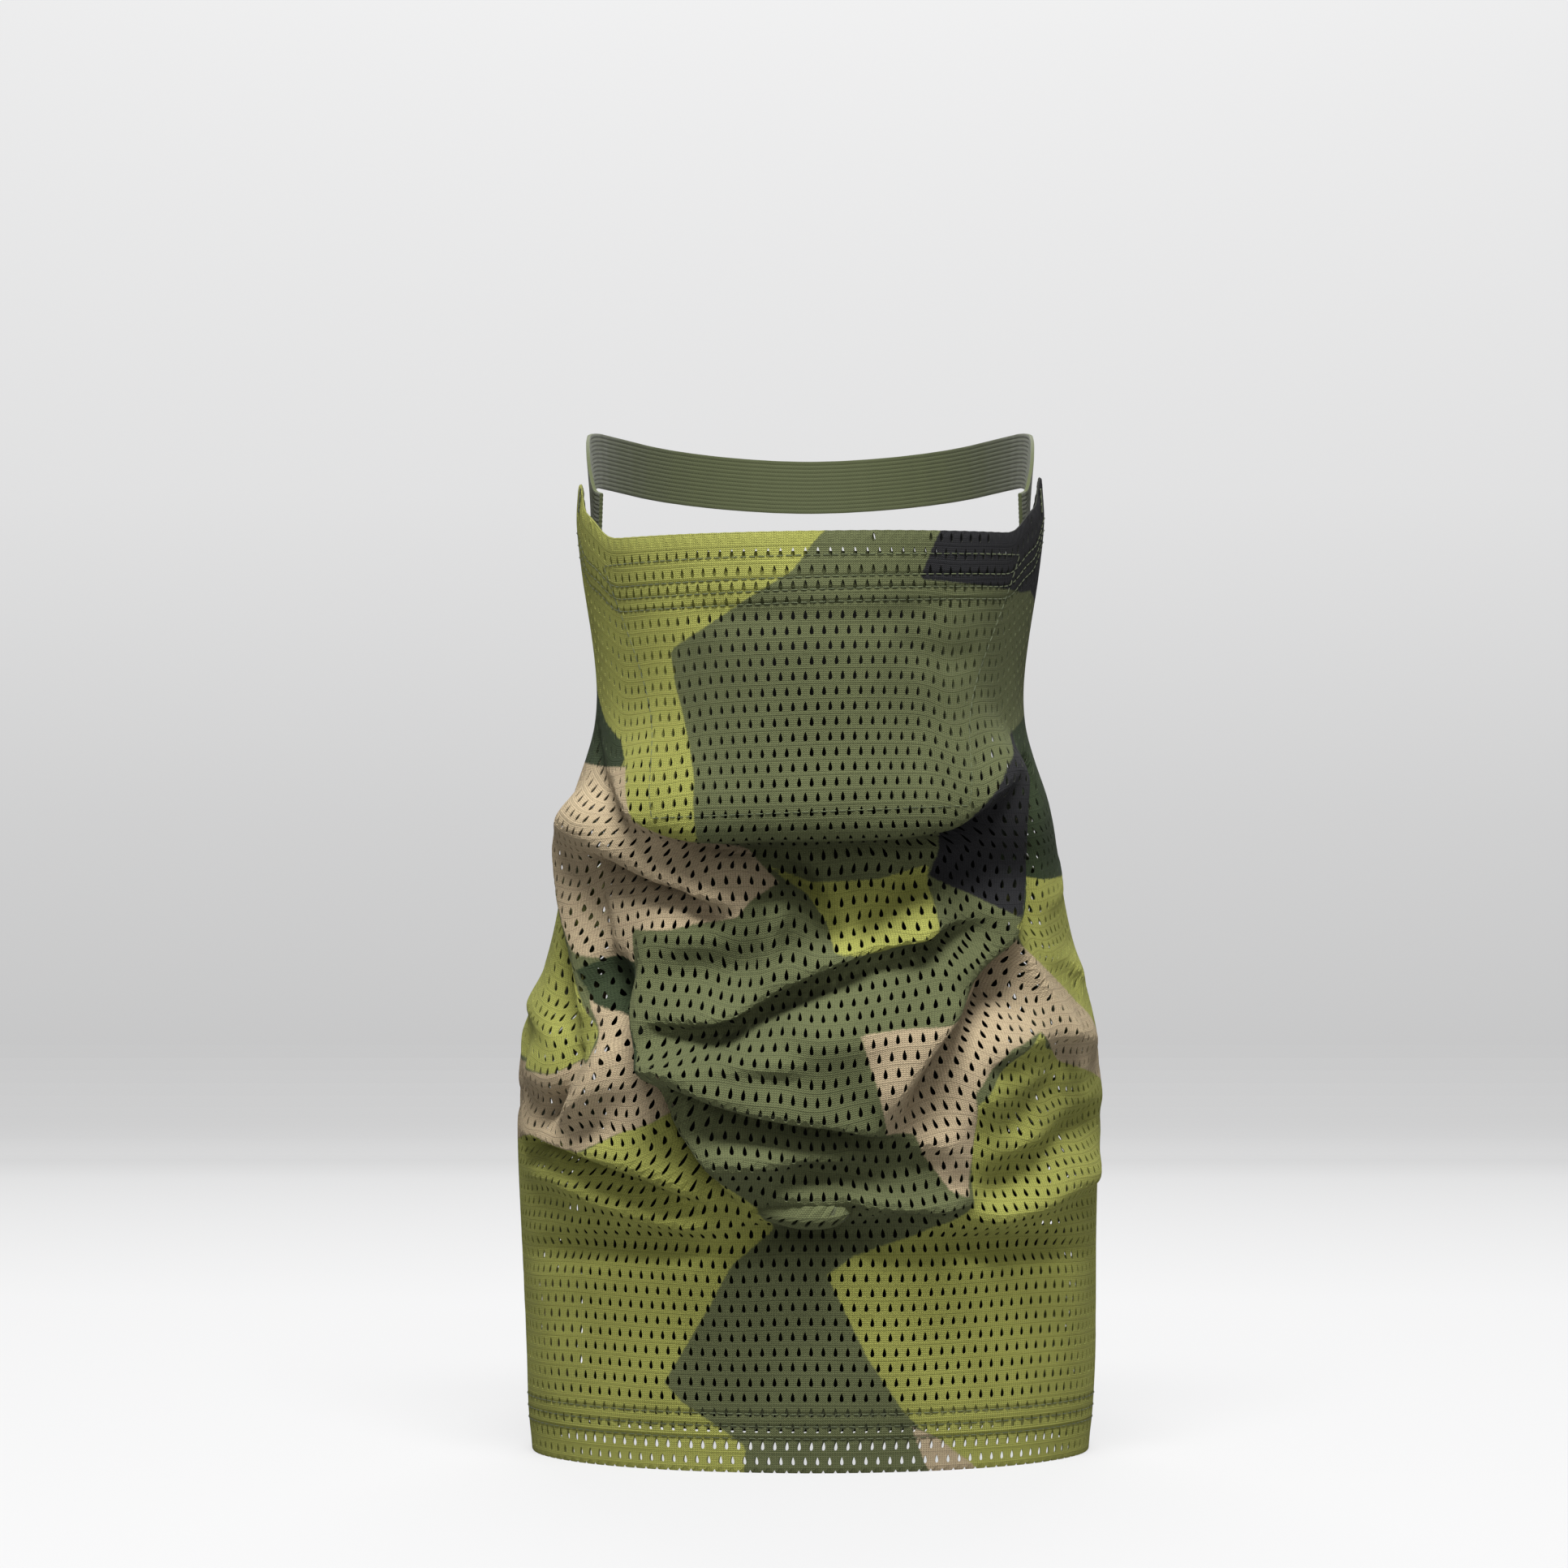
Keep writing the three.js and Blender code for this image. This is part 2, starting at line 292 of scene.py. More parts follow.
# Folds: line of (turn, height) points, rise, reach to the left of the line, reach to its right.
# A line drawn towards the wearer's left has its upper side on its left. A negative rise is a valley.
FRONT_FOLDS = [
    # the face section rolls under at the chin, with a deep shadow below the roll
    ([(-62, 250), (-44, 231), (-36, 225), (-26, 221), (-6, 222), (16, 222), (28, 224), (36, 228),
      (62, 253)], 8, 22, 2),
    ([(-44, 226), (-34, 220), (-22, 217), (-9, 218), (9, 218.5), (24, 220.5), (36, 224),
      (50, 238)], -8, 2.2, 4),
    ([(-84, 262), (-68, 246), (-56, 235), (-46, 226), (-38, 220)], -4, 3, 5),
    ([(-36, 207), (-16, 205), (4, 204), (22, 204), (42, 212)], -7, 11, 15),
    ([(-38, 176), (-18, 178), (4, 184), (24, 190)], -5, 10, 8),
    # fat tube from the right jaw to the middle, and the creases above and below it
    ([(-82, 233), (-69, 228), (-54, 223), (-38, 215), (-26, 209), (-17, 203), (-12, 196)], 10, 9, 8),
    ([(-42, 226), (-34, 222), (-24, 217), (-14, 213), (-6, 209), (0, 203), (5, 190)], -5, 3.5, 4),
    ([(-64, 215), (-49, 212), (-42, 208), (-32, 201), (-25, 194), (-15, 189)], -7, 3.6, 6),
    ([(-42, 182), (-30, 175), (-18, 171), (-6, 177)], -4, 8, 7),
    # hanging hollow in the middle, between a crest on each side
    ([(-5, 206), (-8, 190), (-10, 176), (-15, 163), (-24, 156)], 5, 5, 7),
    ([(-10, 211), (-4, 207), (0, 201), (3, 192), (6, 180)], -4, 5, 4),
    ([(31, 208), (20, 198), (15, 190), (11, 180)], -4, 5, 4),
    ([(38, 214), (30, 200), (24, 190), (20, 184)], 3, 5, 7),
    # big swag with a sharp lower edge, and the pocket under it
    ([(-38, 163), (-32, 164), (-24, 162), (-14, 163), (-5, 170), (6, 178), (23, 186),
      (40, 195)], 4.5, 7, 2.6),
    ([(-35, 160), (-27, 155), (-20, 153), (-14, 157), (-1, 167), (7, 173), (22, 180), (35, 187),
      (48, 196)], -9, 4, 6),
    ([(-33, 159), (-26, 153), (-20, 151), (-13, 154)], -5, 3, 4),
    # crisp level ridge, and the swag beside it
    ([(-37, 146), (-27, 146.5), (-20, 147), (-11, 146), (1, 143)], 4.5, 3.5, 3.5),
    ([(-8, 151), (6, 154), (18, 160), (32, 172)], 4, 9, 10),
    # overhanging lower edge of that swag, the valley falling to the middle, and the ridge below
    ([(-33, 150), (-22, 140), (-12, 131.5), (-3, 126.5), (6, 123), (14, 119.5), (20, 119)], 6, 8, 2.2),
    ([(-34, 142), (-24, 134), (-13, 126), (-3, 121), (6, 117.5), (14, 114.5), (24, 115)], -9, 2.6, 5.5),
    ([(-24, 115), (-12, 114), (0, 111), (12, 108), (24, 107)], 4, 6, 5),
    # right edge of the middle drape, lying over the cloth beside it
    ([(-41, 196), (-37.5, 180), (-35.5, 163), (-33, 150), (-29, 137), (-24, 123), (-18.5, 111),
      (-14, 100), (-8, 90)], 8, 24, 2.2),
    ([(-46, 188), (-41, 168), (-37.5, 150), (-33, 136), (-27, 121), (-21, 108), (-16, 97),
      (-11, 89)], -7, 2.6, 7),
    # hollow low in the drape, the roll under it, and the rolled knot where they end
    ([(-8, 107), (4, 105), (12, 106), (20, 108), (28, 113)], -8, 5, 5),
    ([(-12, 98), (-4, 99), (4, 98), (14, 96), (24, 95), (35, 98)], 6, 3.5, 3),
    ([(-8, 98), (0, 99), (6, 97), (9, 92), (6, 87), (-2, 85.5), (-10, 86)], -3, 2.4, 2.4),
    ([(-16, 87), (-6, 84), (6, 84.5), (16, 87), (30, 90)], -5, 2.6, 4),
    # sharp crease falling from the left shoulder, with a ridge beside it
    ([(9, 117), (13, 125), (17, 137), (22, 150), (28, 164), (36, 178), (46, 194)], 6, 9, 3),
    ([(17, 118), (21, 127), (25, 138), (30, 150), (37, 163), (45, 176), (54, 189)], -10, 3.6, 8),
    ([(16, 106), (24, 116), (32, 128), (40, 138)], 3, 5, 7),
    # left edge of the middle drape, and the cloth set back behind it
    ([(66, 258), (56, 236), (52, 219), (50, 202), (45, 188), (37, 175)], 8, 2.8, 18),
    ([(74, 252), (63, 234), (58, 217), (56, 200), (52, 185)], -10, 8, 3),
    # left shoulder
    ([(47, 194), (52, 178), (58, 163), (66, 148)], 4.5, 6, 6),
    ([(40, 172), (44, 163), (48, 156)], -4, 4, 4),
    ([(86, 148), (68, 154), (54, 155), (42, 151), (33, 143), (29, 130)], 4.5, 6, 8),
    ([(84, 122), (66, 117), (54, 110), (44, 103), (32, 96)], -5.5, 6, 7),
    ([(82, 104), (62, 101), (46, 93), (28, 87)], 4.5, 6, 6),
    ([(60, 136), (48, 128), (38, 116)], -3.5, 5, 6),
    ([(-60, 206), (-53, 191), (-49, 177), (-46, 164)], -6, 6, 6),
    # right shoulder
    ([(-42, 156), (-45, 138), (-50, 128), (-58, 120)], 5, 5, 5),
    ([(-76, 142), (-62, 138), (-48, 132), (-38, 126)], 5, 12, 7),
    ([(-51, 152), (-52, 137), (-58, 126), (-68, 120)], -5, 3.5, 6),
    ([(-51, 182), (-44, 168), (-40, 155), (-38, 145)], -5, 4, 4),
    ([(-84, 236), (-76, 214), (-64, 194), (-56, 178), (-52, 164), (-50, 150)], 6, 14, 3),
    ([(-90, 224), (-82, 205), (-70, 185), (-61, 169), (-56, 157), (-53, 144)], -7, 4, 8),
    ([(-88, 166), (-74, 162), (-62, 156), (-54, 148)], 4, 7, 6),
    # long folds above the skirt
    ([(-84, 117), (-57, 116), (-42, 111), (-30, 105), (-21, 99), (-12, 92)], 5, 7, 3.5),
    ([(-82, 112), (-55, 110), (-42, 101), (-28, 94), (-18, 90), (-10, 86)], -6, 3.5, 5),
    ([(-80, 104), (-58, 103), (-38, 94), (-24, 88), (-9, 84)], 4.5, 5, 5),
    ([(-86, 70), (-58, 76), (-31, 80), (-8, 82), (8, 82), (28, 80), (53, 77), (86, 70)], -5, 4.5, 5),
    # nearly flat places on the face
    ([(-40, 300), (-10, 297), (14, 296), (40, 300)], -1.2, 5, 6),
    ([(20, 289), (36, 284), (50, 284)], -1.1, 5, 6),
]

BACK_FOLDS = [
    ([(98, 232), (118, 214), (145, 202), (180, 200), (215, 204), (242, 216), (262, 232)], -9.1, 6.4, 7.2),
    ([(100, 214), (125, 194), (155, 184), (190, 184), (225, 190), (258, 210)], 7.7, 7.2, 4.8),
    ([(104, 196), (130, 176), (160, 168), (196, 170), (230, 178), (256, 196)], -9.1, 4.8, 5.6),
    ([(110, 172), (135, 158), (160, 153), (185, 156), (205, 164)], 7, 6.4, 4.8),
    ([(176, 148), (200, 150), (225, 160), (250, 178)], 7, 6.4, 4.8),
    ([(100, 158), (124, 146), (150, 138), (175, 140), (196, 146)], -7.7, 4.8, 5.6),
    ([(190, 134), (215, 140), (240, 152), (262, 170)], -7.7, 4.8, 5.6),
    ([(104, 136), (130, 124), (160, 118), (190, 122), (215, 130)], 6.3, 6.4, 5.6),
    ([(96, 120), (125, 108), (155, 100), (185, 102), (220, 110), (255, 126)], -7, 5.6, 6.4),
    ([(108, 98), (140, 90), (180, 87), (220, 92), (252, 100)], 4.9, 4.8, 4.8),
    ([(94, 72), (130, 76), (180, 80), (230, 77), (266, 72)], -4.9, 4, 4.8),
    ([(122, 250), (126, 226), (134, 206)], 4.9, 5.6, 5.6),
    ([(238, 250), (234, 228), (224, 206)], 4.9, 5.6, 5.6),
    ([(160, 256), (162, 240), (168, 226)], 2.8, 4.8, 4.8),
    ([(202, 256), (200, 240), (194, 226)], -2.8, 4.8, 4.8),
]


def fold_rise(turn, height, line, rise, left, right):
    """How far one fold lifts the cloth at each point."""
    path = curve_through(line, 26) * (TURN_TO_MM, 1.0)
    reach = 3 * max(left, right)
    at = np.stack([turn * TURN_TO_MM, height], -1)
    low, high = path.min(0) - reach, path.max(0) + reach
    near = np.all((at > low) & (at < high), -1)
    here = at[near]
    best = np.full(len(here), 1e9)
    share = np.zeros(len(here))
    side = np.ones(len(here))
    for i in range(len(path) - 1):
        a, step = path[i], path[i + 1] - path[i]
        t = np.clip(((here - a) @ step) / (step @ step), 0, 1)
        away = here - a - t[:, None] * step
        distance = np.hypot(away[:, 0], away[:, 1])
        closer = distance < best
        best = np.where(closer, distance, best)
        share = np.where(closer, (i + t) / (len(path) - 1), share)
        side = np.where(closer, np.sign(step[0] * away[:, 1] - step[1] * away[:, 0]), side)
    width = np.where(side > 0, left, right)
    fade = ease(share, 0, 0.22) * ease(1 - share, 0, 0.22)
    out = np.zeros(turn.shape)
    out[near] = rise * fade * np.exp(-((best / width) ** 2))
    return out


def small_wrinkles(turn, height):
    """Short, shallow wrinkles scattered over the slack cloth, lying mostly along the swags."""
    out = np.zeros(turn.shape)
    for _ in range(70):
        t = rng.uniform(-86, 266)
        h = rng.uniform(SKIRT_LINE + 8, CHIN_LINE - 8)
        uphill = 10 * np.sign(math.sin(math.radians(t)) or 1) if abs((t + 90) % 180 - 90) > 30 else 0
        lean = rng.uniform(-14, 14) + uphill
        long = rng.uniform(9, 22)
        rise = rng.uniform(0.5, 1.5) * rng.choice([-1, 1])
        line = [(t - long, h - lean * 0.6), (t, h + rng.uniform(-2, 2)), (t + long, h + lean)]
        out += fold_rise(turn, height, line, rise, rng.uniform(3, 6), rng.uniform(2.5, 4.5))
    return out


def undulation(turn, height):
    """Long, low waves over the whole cloth."""
    a = np.radians(turn)
    waves = 0.5 * np.sin(5 * a + height / 31.0) + 0.4 * np.sin(9 * a - height / 23.0 + 1.0)
    waves += 0.25 * np.sin(14 * a + height / 17.0 + 2.0)
    return waves * (0.35 + 0.65 * ease(CHIN_LINE - height, -20, 30))


def seam_groove(turn):
    """The cloth draws in a little along both side seams."""
    from_seam = np.abs((turn % 180) - 90)
    return -1.1 * np.exp(-((from_seam / 1.3) ** 2))


def worn_surface():
    """The control surface, a grid of points over turns and heights, and how deep in a hollow each lies, for
    the painted shade in the folds.
    """
    turn, height = np.meshgrid(TURNS, HEIGHTS)
    rise = undulation(turn, height) + seam_groove(turn)
    for line, lift, left, right in FRONT_FOLDS + BACK_FOLDS:
        rise += fold_rise(turn, height, line, lift, left, right)
    rise += small_wrinkles(turn, height)
    rise = smooth(smooth(rise, 1.2, 0), 1.2, 1)
    settled = ease(height, 8, 40)
    rise *= 0.25 + 0.75 * settled
    points = base_surface(turn, height)
    wide = np.interp(height, HEIGHTS, PROFILES[3])
    outwards = unit(np.stack([points[..., 0], points[..., 1] - wide, 0 * turn], -1))
    points = points + outwards * rise[..., None]
    slack = ease(height, SKIRT_LINE - 14, SKIRT_LINE + 14) * ease(CHIN_LINE + 12 - height, 0, 26)
    points[..., 2] -= 0.5 * np.clip(rise, -4, 9) * slack
    points[:, -1] = points[:, 0]
    # Painted shade: how far a point lies behind the smoothed cloth above it, as under an overhang lit from
    # above. The material darkens the colour by up to 40 % there.
    above = np.roll(smooth(rise, 9), -8, axis=0)
    hollow = smooth(smooth(ease(above - rise, 0, 9), 1.5, 0), 1.5, 1)
    return points, hollow


SURFACE, PAINTED_FOLD_SHADE = worn_surface()


NORMALS = unit(np.cross(np.gradient(SURFACE, axis=1), np.gradient(SURFACE, axis=0)))


def sample(grid, turn, height):
    """Value of a grid over turns and heights, at any turn and height."""
    return look(grid, height, (turn - TURNS[0]) / TURN_STEP)


def place(turn, height, offset=0.0):
    """A point on the worn cloth, moved outwards by offset."""
    turn, height = np.broadcast_arrays(np.asarray(turn, float), np.asarray(height, float))
    offset = np.broadcast_to(np.asarray(offset, float), turn.shape)
    return sample(SURFACE, turn, height) + unit(sample(NORMALS, turn, height)) * offset[..., None]


# ---------------------------------------------------------------- flat pattern of the knit


ACROSS_STEP = 2.0  # steps of a panel's tables, along the cloth and in rows
ROW_STEP = 0.25


class Panel:
    """The front or the back of the tube: turns its flat cloth measures into a turn and a height."""

    def __init__(self, middle):
        self.middle = middle
        cols = np.abs(TURNS - middle) <= 90.001
        self.turns = TURNS[cols]
        points = SURFACE[:, cols]
        even = smooth(smooth(points, 4, 0), 4, 1)
        steps = np.linalg.norm(np.diff(even, axis=1), axis=2)
        arc = np.concatenate([np.zeros((len(HEIGHTS), 1)), np.cumsum(steps, axis=1)], axis=1)
        arc -= arc[:, [len(self.turns) // 2]]
        self.across = np.arange(-190, 191, ACROSS_STEP)
        self.turn_of = np.stack([np.interp(self.across, row, self.turns) for row in arc])
        tall = np.linalg.norm(np.diff(points, axis=0), axis=2)
        self.climb = np.concatenate([np.zeros((1, len(self.turns))), np.cumsum(tall, axis=0)])
        self.climb = smooth(self.climb, 3, 1)
        slack = self.arc_between(SKIRT_LINE, CHIN_LINE).mean()
        self.skirt_rows = round(SKIRT_LINE / ROW_PITCH + 0.5)
        self.neck_rows = round(slack / ROW_PITCH)
        self.face_rows = round((top_edge(0.0) - CHIN_LINE) / ROW_PITCH)
        self.chin_row = self.skirt_rows + self.neck_rows
        self.top_row = self.chin_row + self.face_rows
        self.build_rows()

    def arc_between(self, low, high):
        """Length of cloth between two heights, in each column."""
        reach = [[np.interp(h, HEIGHTS, column) for column in self.climb.T] for h in (low, high)]
        return np.array(reach[1]) - np.array(reach[0])

    def build_rows(self):
        """Height of each cloth row in each column. Row 0.5 is the lower edge."""
        self.rows = np.arange(0, self.top_row + 14, ROW_STEP)
        table = np.zeros((len(self.rows), len(self.turns)))
        count = self.face_rows
        plain_chin = top_edge(0.0) - count * ROW_PITCH
        for k, turn in enumerate(self.turns):
            climb = self.climb[:, k]
            if self.middle == 0:
                top = top_edge(turn)
                chin = plain_chin + 0.5 * (top - top_edge(0.0)) + hem_climb(turn)
            else:
                chin = plain_chin
                top = chin + count * ROW_PITCH
            heights = [0, SKIRT_LINE, chin, top, 2 * top - chin]
            arcs = np.interp(heights, HEIGHTS, climb) + np.maximum(np.array(heights) - HEIGHTS[-1], 0)
            marks = [0.5, self.skirt_rows, self.chin_row, self.chin_row + count, self.chin_row + 2 * count]
            wanted = np.interp(self.rows, marks, arcs)
            table[:, k] = np.interp(wanted, climb, HEIGHTS) + np.maximum(wanted - climb[-1], 0)
        self.height_of = smooth(table, 2, 1)

    def locate(self, across, row):
        """Turn and height of a place given by its cloth distance from the middle and its row."""
        turn = self.middle + across / TURN_TO_MM
        for _ in range(7):
            height = look(self.height_of, (row - self.rows[0]) / ROW_STEP, (turn - self.turns[0]) / TURN_STEP)
            turn = look(self.turn_of, height, (across - self.across[0]) / ACROSS_STEP)
        return turn, height


FRONT_PANEL = Panel(0)
BACK_PANEL = Panel(180)


# The ten corners of a hole, from its point clockwise.
HOLE_RING = HOLE_OUTLINE + [(-x, y) for x, y in reversed(HOLE_OUTLINE[1:-1])]

# Each cell of knit has eight corners round its border and ten round its hole.
BORDER_STEPS = [(0, 1), (1, 1), (1, 0), (1, -1), (0, -1), (-1, -1), (-1, 0), (-1, 1)]
BESIDE_HOLE = [0, 1, 2, 2, 3, 4, 5, 6, 6, 7]  # the border's corner that each corner of the hole is joined to


def knit_cells(first_row, last_row, half_across):
    """Flat knit between two rows: cloth places of all corners, and the corners of every face."""
    reach = int(half_across / HOLE_PITCH) + 2
    ids = {}
    places = []
    pulls = []

    def corner(column, line):
        key = (column, line)
        if key not in ids:
            ids[key] = len(places)
            at = (column * HOLE_PITCH / 2, line / 2)
            places.append(at)
            pulls.append(at)
        return ids[key]

    cells = []
    for row in range(first_row, last_row):
        for k in range(-reach, reach + 1):
            column = 2 * k + row % 2
            line = 2 * row + 1
            border = [corner(column + dx, line + dy) for dx, dy in BORDER_STEPS]
            centre = (column * HOLE_PITCH / 2, line / 2)
            start = len(places)
            for x, y in HOLE_RING:
                places.append((centre[0] + x, centre[1] + y / ROW_PITCH))
                pulls.append(centre)
            cells.append((border, list(range(start, start + len(HOLE_RING)))))
    return np.array(places), np.array(pulls), cells


def cell_faces(cells, excess):
    """Faces of the cells. Excess is how far each corner lies outside the piece, one column for each border.
    A cell wholly beyond a border is dropped, and one that a border cuts has no hole."""
    faces = []
    beyond = excess >= -1e-4
    for border, ring in cells:
        out = beyond[border]
        if out.all(axis=0).any():
            continue
        if out.any():
            faces.append([border[0]] + border[:0:-1])
            continue
        for k, beside in enumerate(BESIDE_HOLE):
            after = (k + 1) % len(ring)
            face = [border[beside], ring[k], ring[after], border[BESIDE_HOLE[after]]]
            faces.append(face[:3] if face[0] == face[3] else face)
    return faces


# ---------------------------------------------------------------- printed camouflage

# Patches of one colour lie over those before it. Each is an outline of (turn, height) points.
CAMO = {
    "lime": [
        [(7, 333), (-5, 312), (-20, 300), (-30, 292), (-39, 286), (-38, 274), (-34, 260), (-28, 242),
         (-24, 222), (-34, 218), (-60, 236), (-84, 262), (-104, 290), (-112, 330), (-92, 356), (-62, 356)],
        [(-12, 210), (0, 204), (16, 205), (29, 210), (28, 188), (22, 184), (15, 180), (5, 181), (4, 190),
         (-1, 200)],
        [(-88, 204), (-65, 194), (-56, 178), (-46, 154), (-46, 146), (-57, 140), (-80, 144), (-104, 150),
         (-112, 190)],
        [(-104, 108), (-84, 113), (-66, 118), (-47, 114), (-38, 120), (-32, 122), (-28, 126), (-23, 118),
         (-15, 104), (-8, 90), (-8, 84), (-15, 74), (-20, 58), (-30, 31), (-26, 24), (-13, 10), (-14, -6),
         (-100, -6), (-116, 50)],
        [(32, 130), (49, 156), (52, 148), (78, 137), (112, 128), (128, 92), (118, 40), (104, -6), (40, -6),
         (26, 12), (22, 15), (18, 22), (11, 40), (3, 70), (8, 76), (22, 82), (28, 88), (32, 95)],
        [(58, 207), (46, 194), (50, 188), (54, 176), (72, 160), (92, 148), (112, 160), (118, 196), (84, 212)],
        [(140, 262), (176, 240), (206, 252), (214, 290), (150, 292)],
        [(150, 196), (178, 204), (196, 176), (182, 150), (156, 158)],
        [(176, 70), (214, 84), (236, 52), (226, -6), (182, -6)],
        [(226, 206), (246, 216), (250, 188), (232, 180)],
    ],
    "tan": [
        [(-96, 250), (-68, 247), (-50, 246), (-40, 228), (-28, 220), (-17, 216), (-8, 204), (-14, 198),
         (-17, 192), (-26, 190), (-42, 190), (-40, 178), (-50, 178), (-57, 184), (-76, 214), (-98, 226)],
        [(-50, 169), (-43, 160), (-36, 152), (-34, 142), (-28, 132), (-28, 126), (-32, 122), (-38, 120),
         (-48, 114), (-66, 118), (-84, 113), (-106, 112), (-112, 138), (-89, 143), (-57, 140), (-46, 145),
         (-45, 151)],
        [(9, 156), (28, 162), (39, 178), (47, 189), (56, 178), (72, 162), (87, 150), (106, 140), (104, 126),
         (82, 135), (58, 142), (49, 156), (40, 150), (32, 134), (32, 112), (31, 98), (27, 100), (22, 112),
         (20, 119), (14, 120), (12, 138)],
        [(20, 16), (26, 12), (34, 3), (38, -6), (26, -6)],
        [(112, 236), (138, 244), (156, 222), (148, 196), (126, 204)],
        [(132, 112), (158, 126), (170, 104), (150, 84), (134, 92)],
        [(206, 158), (232, 168), (240, 142), (218, 126)],
        [(238, 60), (254, 68), (258, 30), (240, 20)],
    ],
    "dark": [
        [(-112, 292), (-84, 274), (-70, 262), (-58, 255), (-50, 246), (-68, 246), (-96, 249), (-118, 262)],
        [(-55, 178), (-40, 178), (-37, 170), (-30, 141), (-34, 147), (-41, 156), (-49, 166)],
        [(64, 258), (54, 234), (48, 196), (62, 206), (84, 208), (104, 222), (110, 250), (92, 268)],
        [(120, 190), (148, 186), (156, 158), (136, 140), (116, 152)],
        [(184, 232), (222, 240), (240, 212), (222, 186), (196, 196)],
        [(150, 72), (176, 82), (178, 40), (160, 18), (142, 36)],
        [(226, 118), (256, 128), (262, 92), (238, 84)],
    ],
    "black": [
        [(34, 332), (27, 310), (67, 307), (74, 308), (96, 300), (110, 318), (100, 356), (60, 356)],
        [(66, 260), (55, 234), (52, 218), (48, 197), (36, 203), (29, 206), (30, 212), (36, 229), (50, 246)],
        [(96, 96), (122, 108), (134, 84), (118, 60), (98, 66)],
        [(196, 128), (214, 118), (204, 92), (184, 96)],
        [(236, 286), (262, 280), (254, 250), (232, 254)],
    ],
}


def distance_to_outline(at, outline):
    """Distance to a closed outline, negative inside it."""
    corners = np.array(outline, float) * (TURN_TO_MM, 1.0)
    best = np.full(len(at), 1e9)
    inside = np.zeros(len(at), bool)
    for a, b in zip(corners, np.roll(corners, -1, axis=0)):
        step = b - a
        t = np.clip(((at - a) @ step) / (step @ step), 0, 1)
        away = at - a - t[:, None] * step
        best = np.minimum(best, np.hypot(away[:, 0], away[:, 1]))
        spans = (a[1] > at[:, 1]) != (b[1] > at[:, 1])
        rise = step[1] if abs(step[1]) > SMALL else SMALL
        inside ^= spans & (at[:, 0] < a[0] + (at[:, 1] - a[1]) / rise * step[0])
    return np.where(inside, -best, best)


def camo_distance(colour, turn, height):
    """Distance to the nearest patch of a colour, negative inside a patch, up to 30 mm."""
    best = np.full(len(turn), 30.0)
    for outline in CAMO[colour]:
        low = np.min(outline, axis=0)
        high = np.max(outline, axis=0)
        for lap in (-360, 0, 360):
            near = (turn + lap > low[0] - 18) & (turn + lap < high[0] + 18)
            near &= (height > low[1] - 30) & (height < high[1] + 30)
            if near.any():
                at = np.stack([(turn[near] + lap) * TURN_TO_MM, height[near]], -1)
                best[near] = np.minimum(best[near], distance_to_outline(at, outline))
    return best


# ---------------------------------------------------------------- meshes


def add_mesh(name, points, faces, material, flat=None, soft=0.0):
    """A mesh object from points in millimetres. Faces listed in flat have hard edges. Soft eases the line
    where a rounded face turns into its own shadow."""
    mesh = bpy.data.meshes.new(name)
    mesh.from_pydata((np.asarray(points) * MM).tolist(), [], faces)
    mesh.materials.append(material)
    sharp = np.zeros(len(mesh.polygons), bool)
    if flat is not None:
        sharp[flat] = True
    attribute = mesh.attributes.new("sharp_face", "BOOLEAN", "FACE")
    attribute.data.foreach_set("value", sharp)
    mesh.update()
    obj = bpy.data.objects.new(name, mesh)
    obj.cycles.shadow_terminator_geometry_offset = soft
    bpy.context.scene.collection.objects.link(obj)
    return obj


def corner_normals(points, faces):
    """Average outward direction at each point of a set of faces."""
    out = np.zeros_like(points)
    for size in {len(f) for f in faces}:
        group = np.array([f for f in faces if len(f) == size])
        p = points[group]
        if size == 3:
            n = np.cross(p[:, 1] - p[:, 0], p[:, 2] - p[:, 0])
        else:
            half = size // 2
            n = np.cross(p[:, half] - p[:, 0], p[:, half + 1 if size > 4 else 3] - p[:, 1])
        for k in range(size):
            np.add.at(out, group[:, k], n)
    return unit(out)


def border_edges(faces):
    """Directed edges that belong to one face only."""
    seen = {}
    for face in faces:
        for a, b in zip(face, face[1:] + face[:1]):
            seen[(a, b)] = True
    return [(a, b) for a, b in seen if (b, a) not in seen]


def add_field(obj, name, values):
    """One number for each point of a mesh, for its material."""
    field = obj.data.attributes.new(name, "FLOAT", "POINT")
    field.data.foreach_set("value", np.asarray(values, np.float32))


def add_map(obj, name, places):
    """A flat place for each corner of each face."""
    layer = obj.data.uv_layers.new(name=name)
    layer.data.foreach_set("uv", np.asarray(places, np.float32).ravel())


def corner_points(obj):
    """The point at each corner of each face."""
    corners = np.zeros(len(obj.data.loops), int)
    obj.data.loops.foreach_get("vertex_index", corners)
    return corners


